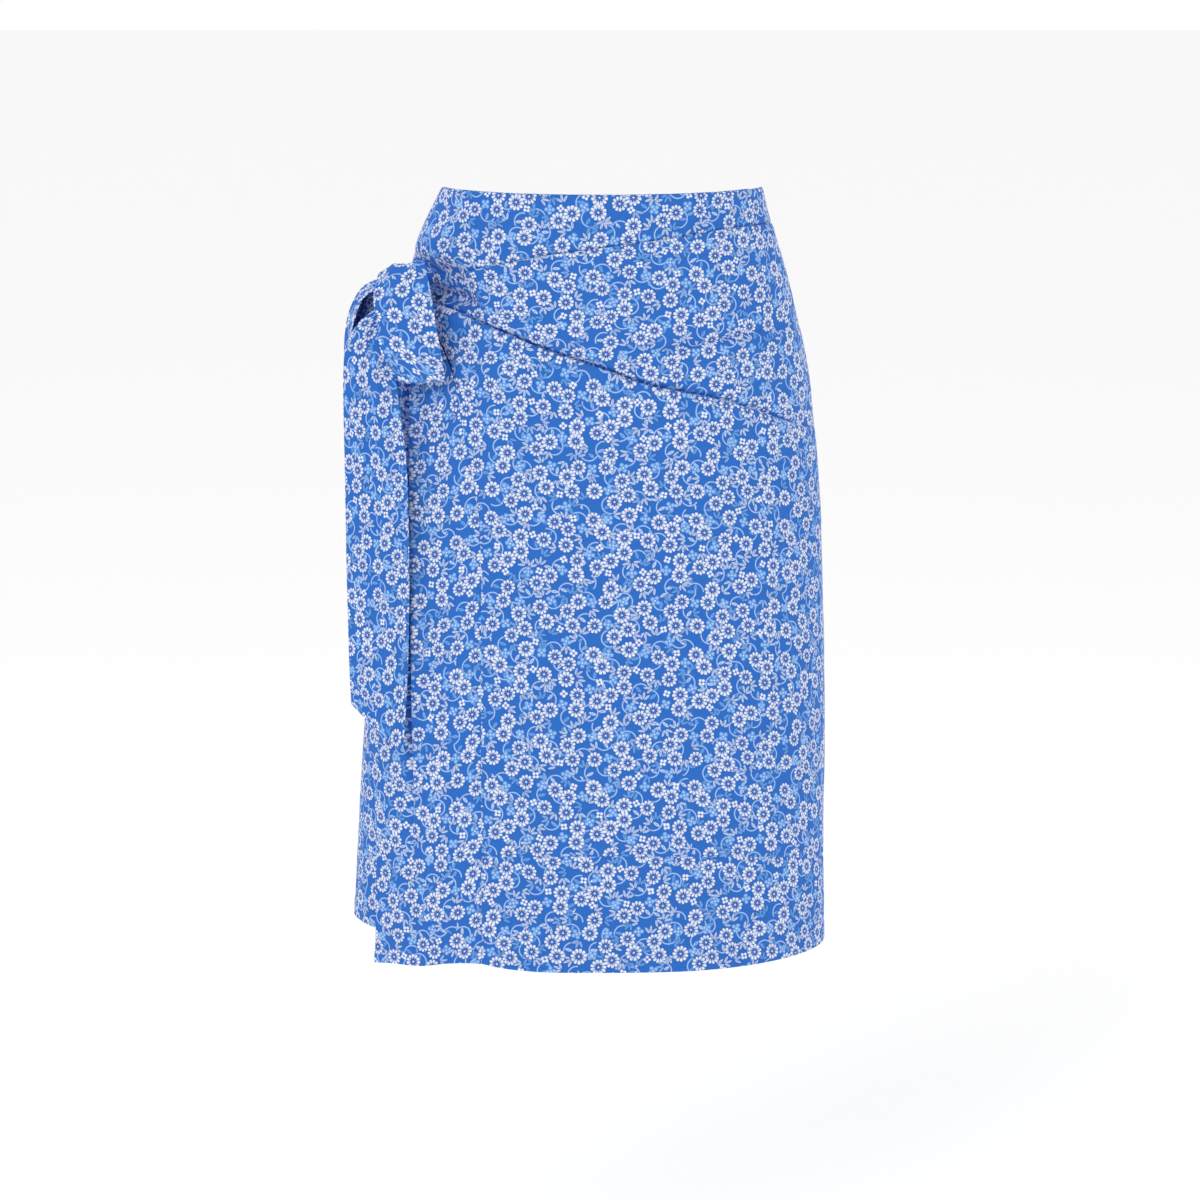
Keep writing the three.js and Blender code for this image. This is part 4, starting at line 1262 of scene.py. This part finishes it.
class SKIRT_OT_outer_flap(bpy.types.Operator):
    """Makes the outer flap: its front panel, its edge band and its hem band"""

    bl_idname = "skirt.outer_flap"
    bl_label = "Outer Flap"

    def execute(self, context):
        outer = {"shape": front_shape, "phase": 0.4}
        skirt_cloth(
            "front_cloth", "front_panel", flat=(0.356, 0.519), area=0.176, print_shift=(0, 0),
            sides=front_sides, guides=front_guides, row_counts=FRONT_ROWS, columns=150,
            creases=FRONT_CREASES, edges="top-seam bottom-seam left-seam right-seam", **outer,
        )
        skirt_cloth(
            "edge_band_cloth", "front_edge_band", flat=(0.105, 0.575), area=0.05, print_shift=(31, 17),
            sides=edge_band_sides, guides=edge_band_guides, row_counts=(*FRONT_ROWS, 30, 10), columns=96,
            creases=EDGE_BAND_CREASES, edges="top-seam bottom-hem left-hem right-seam", **outer,
            stitched=(("bottom", HEM_DEPTH), ("left", HEM_DEPTH)),
        )
        skirt_cloth(
            "hem_band_cloth", "front_hem_band", flat=(0.365, 0.102), area=0.033, print_shift=(13, 41),
            sides=front_sides, guides=hem_guides, row_counts=(26, 10), columns=150,
            creases=FRONT_CREASES, edges="top-seam bottom-hem left-seam right-seam", **outer,
            stitched=(("bottom", HEM_DEPTH),),
        )
        return {"FINISHED"}


class SKIRT_OT_under_flap(bpy.types.Operator):
    """Makes the inner flap and its band, which show only below the outer flap's corner"""

    bl_idname = "skirt.under_flap"
    bl_label = "Inner Flap"

    def execute(self, context):
        under = {"sides": under_sides, "shape": under_shape, "columns": 110, "phase": 1.3}
        skirt_cloth(
            "under_front_cloth", "under_front_panel", flat=(0.46, 0.6), area=0.25, print_shift=(50, 23),
            guides=plain_guides(UNDER_BAND_DEPTH - SEAM_LAP, UNDER_HEM), row_counts=(120, 8),
            creases=UNDER_CREASES, edges="top-seam bottom-hem left-seam right-hem", **under,
            stitched=(("bottom", HEM_DEPTH), ("right", HEM_DEPTH)),
        )
        skirt_cloth(
            "under_band_cloth", "waistband_under", flat=(0.36, 0.042), print_shift=(5, 60),
            guides=band_guides(UNDER_BAND_DEPTH), row_counts=BAND_ROWS,
            edges="top-seam bottom-seam left-seam right-hem", **under,
        )
        return {"FINISHED"}


class SKIRT_OT_back(bpy.types.Operator):
    """Makes the back panel and the back of the waistband"""

    bl_idname = "skirt.back"
    bl_label = "Back"

    def execute(self, context):
        back = {"sides": back_sides, "columns": 150, "middle": 180, "phase": 2.1}
        skirt_cloth(
            "back_cloth", "back_panel", flat=(0.49, 0.6), area=0.27, print_shift=(22, 70),
            guides=plain_guides(BACK_BAND_DEPTH - SEAM_LAP, BACK_HEM), row_counts=(170, 8),
            shape=back_shape, creases=BACK_CREASES, **back,
            edges="top-seam bottom-hem left-seam right-seam", stitched=(("bottom", HEM_DEPTH),),
        )
        skirt_cloth(
            "back_band_cloth", "waistband_back", flat=(0.37, 0.036), print_shift=(44, 8),
            guides=band_guides(BACK_BAND_DEPTH), row_counts=BAND_ROWS, shape=back_band_shape, **back,
            edges="top-seam bottom-seam left-seam right-seam", stitched=(("bottom", SEAM_STITCH),),
        )
        return {"FINISHED"}


class SKIRT_OT_waistband(bpy.types.Operator):
    """Makes the front of the waistband, which deepens toward the knot"""

    bl_idname = "skirt.waistband"
    bl_label = "Front Waistband"

    def execute(self, context):
        skirt_cloth(
            "front_band_cloth", "waistband_front", flat=(0.37, 0.09), area=0.0175, print_shift=(66, 12),
            sides=front_band_sides, guides=front_band_guides, row_counts=(56,), columns=170,
            shape=front_band_shape, phase=0.9, creases=BAND_CREASES,
            edges="top-seam bottom-seam right-seam",
        )
        return {"FINISHED"}


class SKIRT_OT_tie(bpy.types.Operator):
    """Makes the bow at the hip: the knot, its two loops and its two ends"""

    bl_idname = "skirt.tie"
    bl_label = "Tie"

    def execute(self, context):
        tie_cloth("tie_knot_cloth", "tie_knot", knot(), (7, 33))
        made = strap(FRONT_LOOP, FRONT_LOOP_FOLDS, steps=120, phase=0.3)
        tie_cloth("front_loop_cloth", "tie_front_loop", made, (61, 28))
        made = strap(BACK_LOOP, BACK_LOOP_FOLDS, steps=120, phase=1.7, gathered=TIE_GATHER)
        tie_cloth("back_loop_cloth", "tie_back_loop", made, (18, 52))
        made = strap(FRONT_TAIL, FRONT_TAIL_FOLDS, steps=220, phase=2.6, sewn_end=1, gathered=TIE_GATHER)
        tie_cloth("front_tail_cloth", "tie_front_tail", made, (40, 77))
        made = strap(BACK_TAIL, BACK_TAIL_FOLDS, steps=180, phase=3.5, sewn_end=1)
        tie_cloth("back_tail_cloth", "tie_back_tail", made, (27, 12))
        return {"FINISHED"}


# Stage
def studio_floor(context):
    bpy.ops.mesh.primitive_plane_add(size=FLOOR_SIZE, location=(0, 0, FLOOR_Z))
    floor = context.active_object
    floor.name = "studio_floor"
    # Matt white studio paper
    floor.data.materials.append(plain("white paper", linear(PAPER), PAPER_ROUGHNESS))


def studio_lamps(context):
    for name, place, aim, size, power in LAMPS:
        bpy.ops.object.light_add(type="AREA", location=place)
        lamp = context.active_object
        lamp.name = name
        lamp.data.shape = "DISK"
        lamp.data.size = size
        lamp.data.energy = power
        direction = Vector(aim) - Vector(place)
        lamp.rotation_euler = direction.to_track_quat("-Z", "Y").to_euler()


def soft_room():
    """The room's own white light, by the direction that it comes from."""
    world = bpy.data.worlds.new("soft white room")
    world.use_nodes = True
    tree = world.node_tree
    way = tree.nodes.new("ShaderNodeTexCoord").outputs["Generated"]
    behind = add(tree, "VectorMath", way, (0, 1, 0), operation="DOT_PRODUCT")
    behind = add(tree, "MapRange", behind, *ROOM_BEHIND_FROM, ROOM_FRONT, ROOM_BEHIND)
    above = add(tree, "VectorMath", way, (0, 0, 1), operation="DOT_PRODUCT")
    above = add(tree, "MapRange", above, 0.0, 1.0, 0.0, ROOM_ABOVE)
    strength = add(tree, "Math", behind, above, operation="ADD")
    tree.nodes["Background"].inputs["Color"].default_value = (1, 1, 1, 1)
    tree.links.new(strength, tree.nodes["Background"].inputs["Strength"])
    return world


def picture_camera(context):
    bpy.ops.object.camera_add(location=CAMERA_AT, rotation=(math.radians(CAMERA_TILT), 0, 0))
    camera = context.active_object
    camera.name = "picture_camera"
    camera.data.lens = CAMERA_LENS
    camera.data.sensor_width = CAMERA_SENSOR
    camera.data.clip_end = CAMERA_SEES
    context.scene.camera = camera


class SKIRT_OT_stage(bpy.types.Operator):
    """Sets a plain pale floor, soft light and the camera at the picture's angle"""

    bl_idname = "skirt.stage"
    bl_label = "Stage"

    def execute(self, context):
        studio_floor(context)
        studio_lamps(context)
        context.scene.world = soft_room()
        picture_camera(context)
        context.scene.view_settings.view_transform = "Standard"
        return {"FINISHED"}


# The add-on
class WrapSkirtSettings(bpy.types.PropertyGroup):
    """What can be set before the skirt is made"""

    crease_depth: bpy.props.FloatProperty(
        name="Crease depth", description="Depth of the creases, 1 as worn and 0 for pressed cloth",
        default=1.0, min=0.0, max=2.0, subtype="FACTOR",
    )
    print_size: bpy.props.FloatProperty(
        name="Print size", description="Size of the flower print, 1 as on the real cloth",
        default=1.0, min=0.5, max=2.0, subtype="FACTOR",
    )
    stitch_length: bpy.props.FloatProperty(
        name="Stitch length", description="Length of one stitch",
        default=2.8 * MM, min=1.5 * MM, max=6.0 * MM, precision=4, subtype="DISTANCE", unit="LENGTH",
    )
    ground_colour: bpy.props.FloatVectorProperty(
        name="Ground", description="Colour of the cloth between the flowers",
        default=linear(GROUND), min=0.0, max=1.0, size=4, subtype="COLOR",
    )
    petal_colour: bpy.props.FloatVectorProperty(
        name="Petals", description="Colour of the daisies, the buds and the dots",
        default=linear(PETAL), min=0.0, max=1.0, size=4, subtype="COLOR",
    )
    thread_colour: bpy.props.FloatVectorProperty(
        name="Thread", description="Colour of the sewing thread",
        default=linear(THREAD), min=0.0, max=1.0, size=4, subtype="COLOR",
    )


class SKIRT_PT_panel(bpy.types.Panel):
    """Makes the skirt piece by piece"""

    bl_idname = "SKIRT_PT_panel"
    bl_label = "Wrap Skirt"
    bl_space_type = "VIEW_3D"
    bl_region_type = "UI"
    bl_category = "Skirt"

    def draw(self, context):
        for name in WrapSkirtSettings.__annotations__:
            self.layout.prop(context.scene.wrap_skirt, name)
        for operator in OPERATORS:
            self.layout.operator(operator.bl_idname)


OPERATORS = (
    SKIRT_OT_back, SKIRT_OT_under_flap, SKIRT_OT_outer_flap, SKIRT_OT_waistband, SKIRT_OT_tie,
    SKIRT_OT_stage,
)
CLASSES = (WrapSkirtSettings, *OPERATORS, SKIRT_PT_panel)


def register():
    for each in CLASSES:
        bpy.utils.register_class(each)
    bpy.types.Scene.wrap_skirt = bpy.props.PointerProperty(type=WrapSkirtSettings)


def unregister():
    del bpy.types.Scene.wrap_skirt
    for each in reversed(CLASSES):
        bpy.utils.unregister_class(each)


def main():
    register()
    bpy.ops.skirt.back()
    bpy.ops.skirt.under_flap()
    bpy.ops.skirt.outer_flap()
    bpy.ops.skirt.waistband()
    bpy.ops.skirt.tie()
    bpy.ops.skirt.stage()


if __name__ == "__main__":
    main()
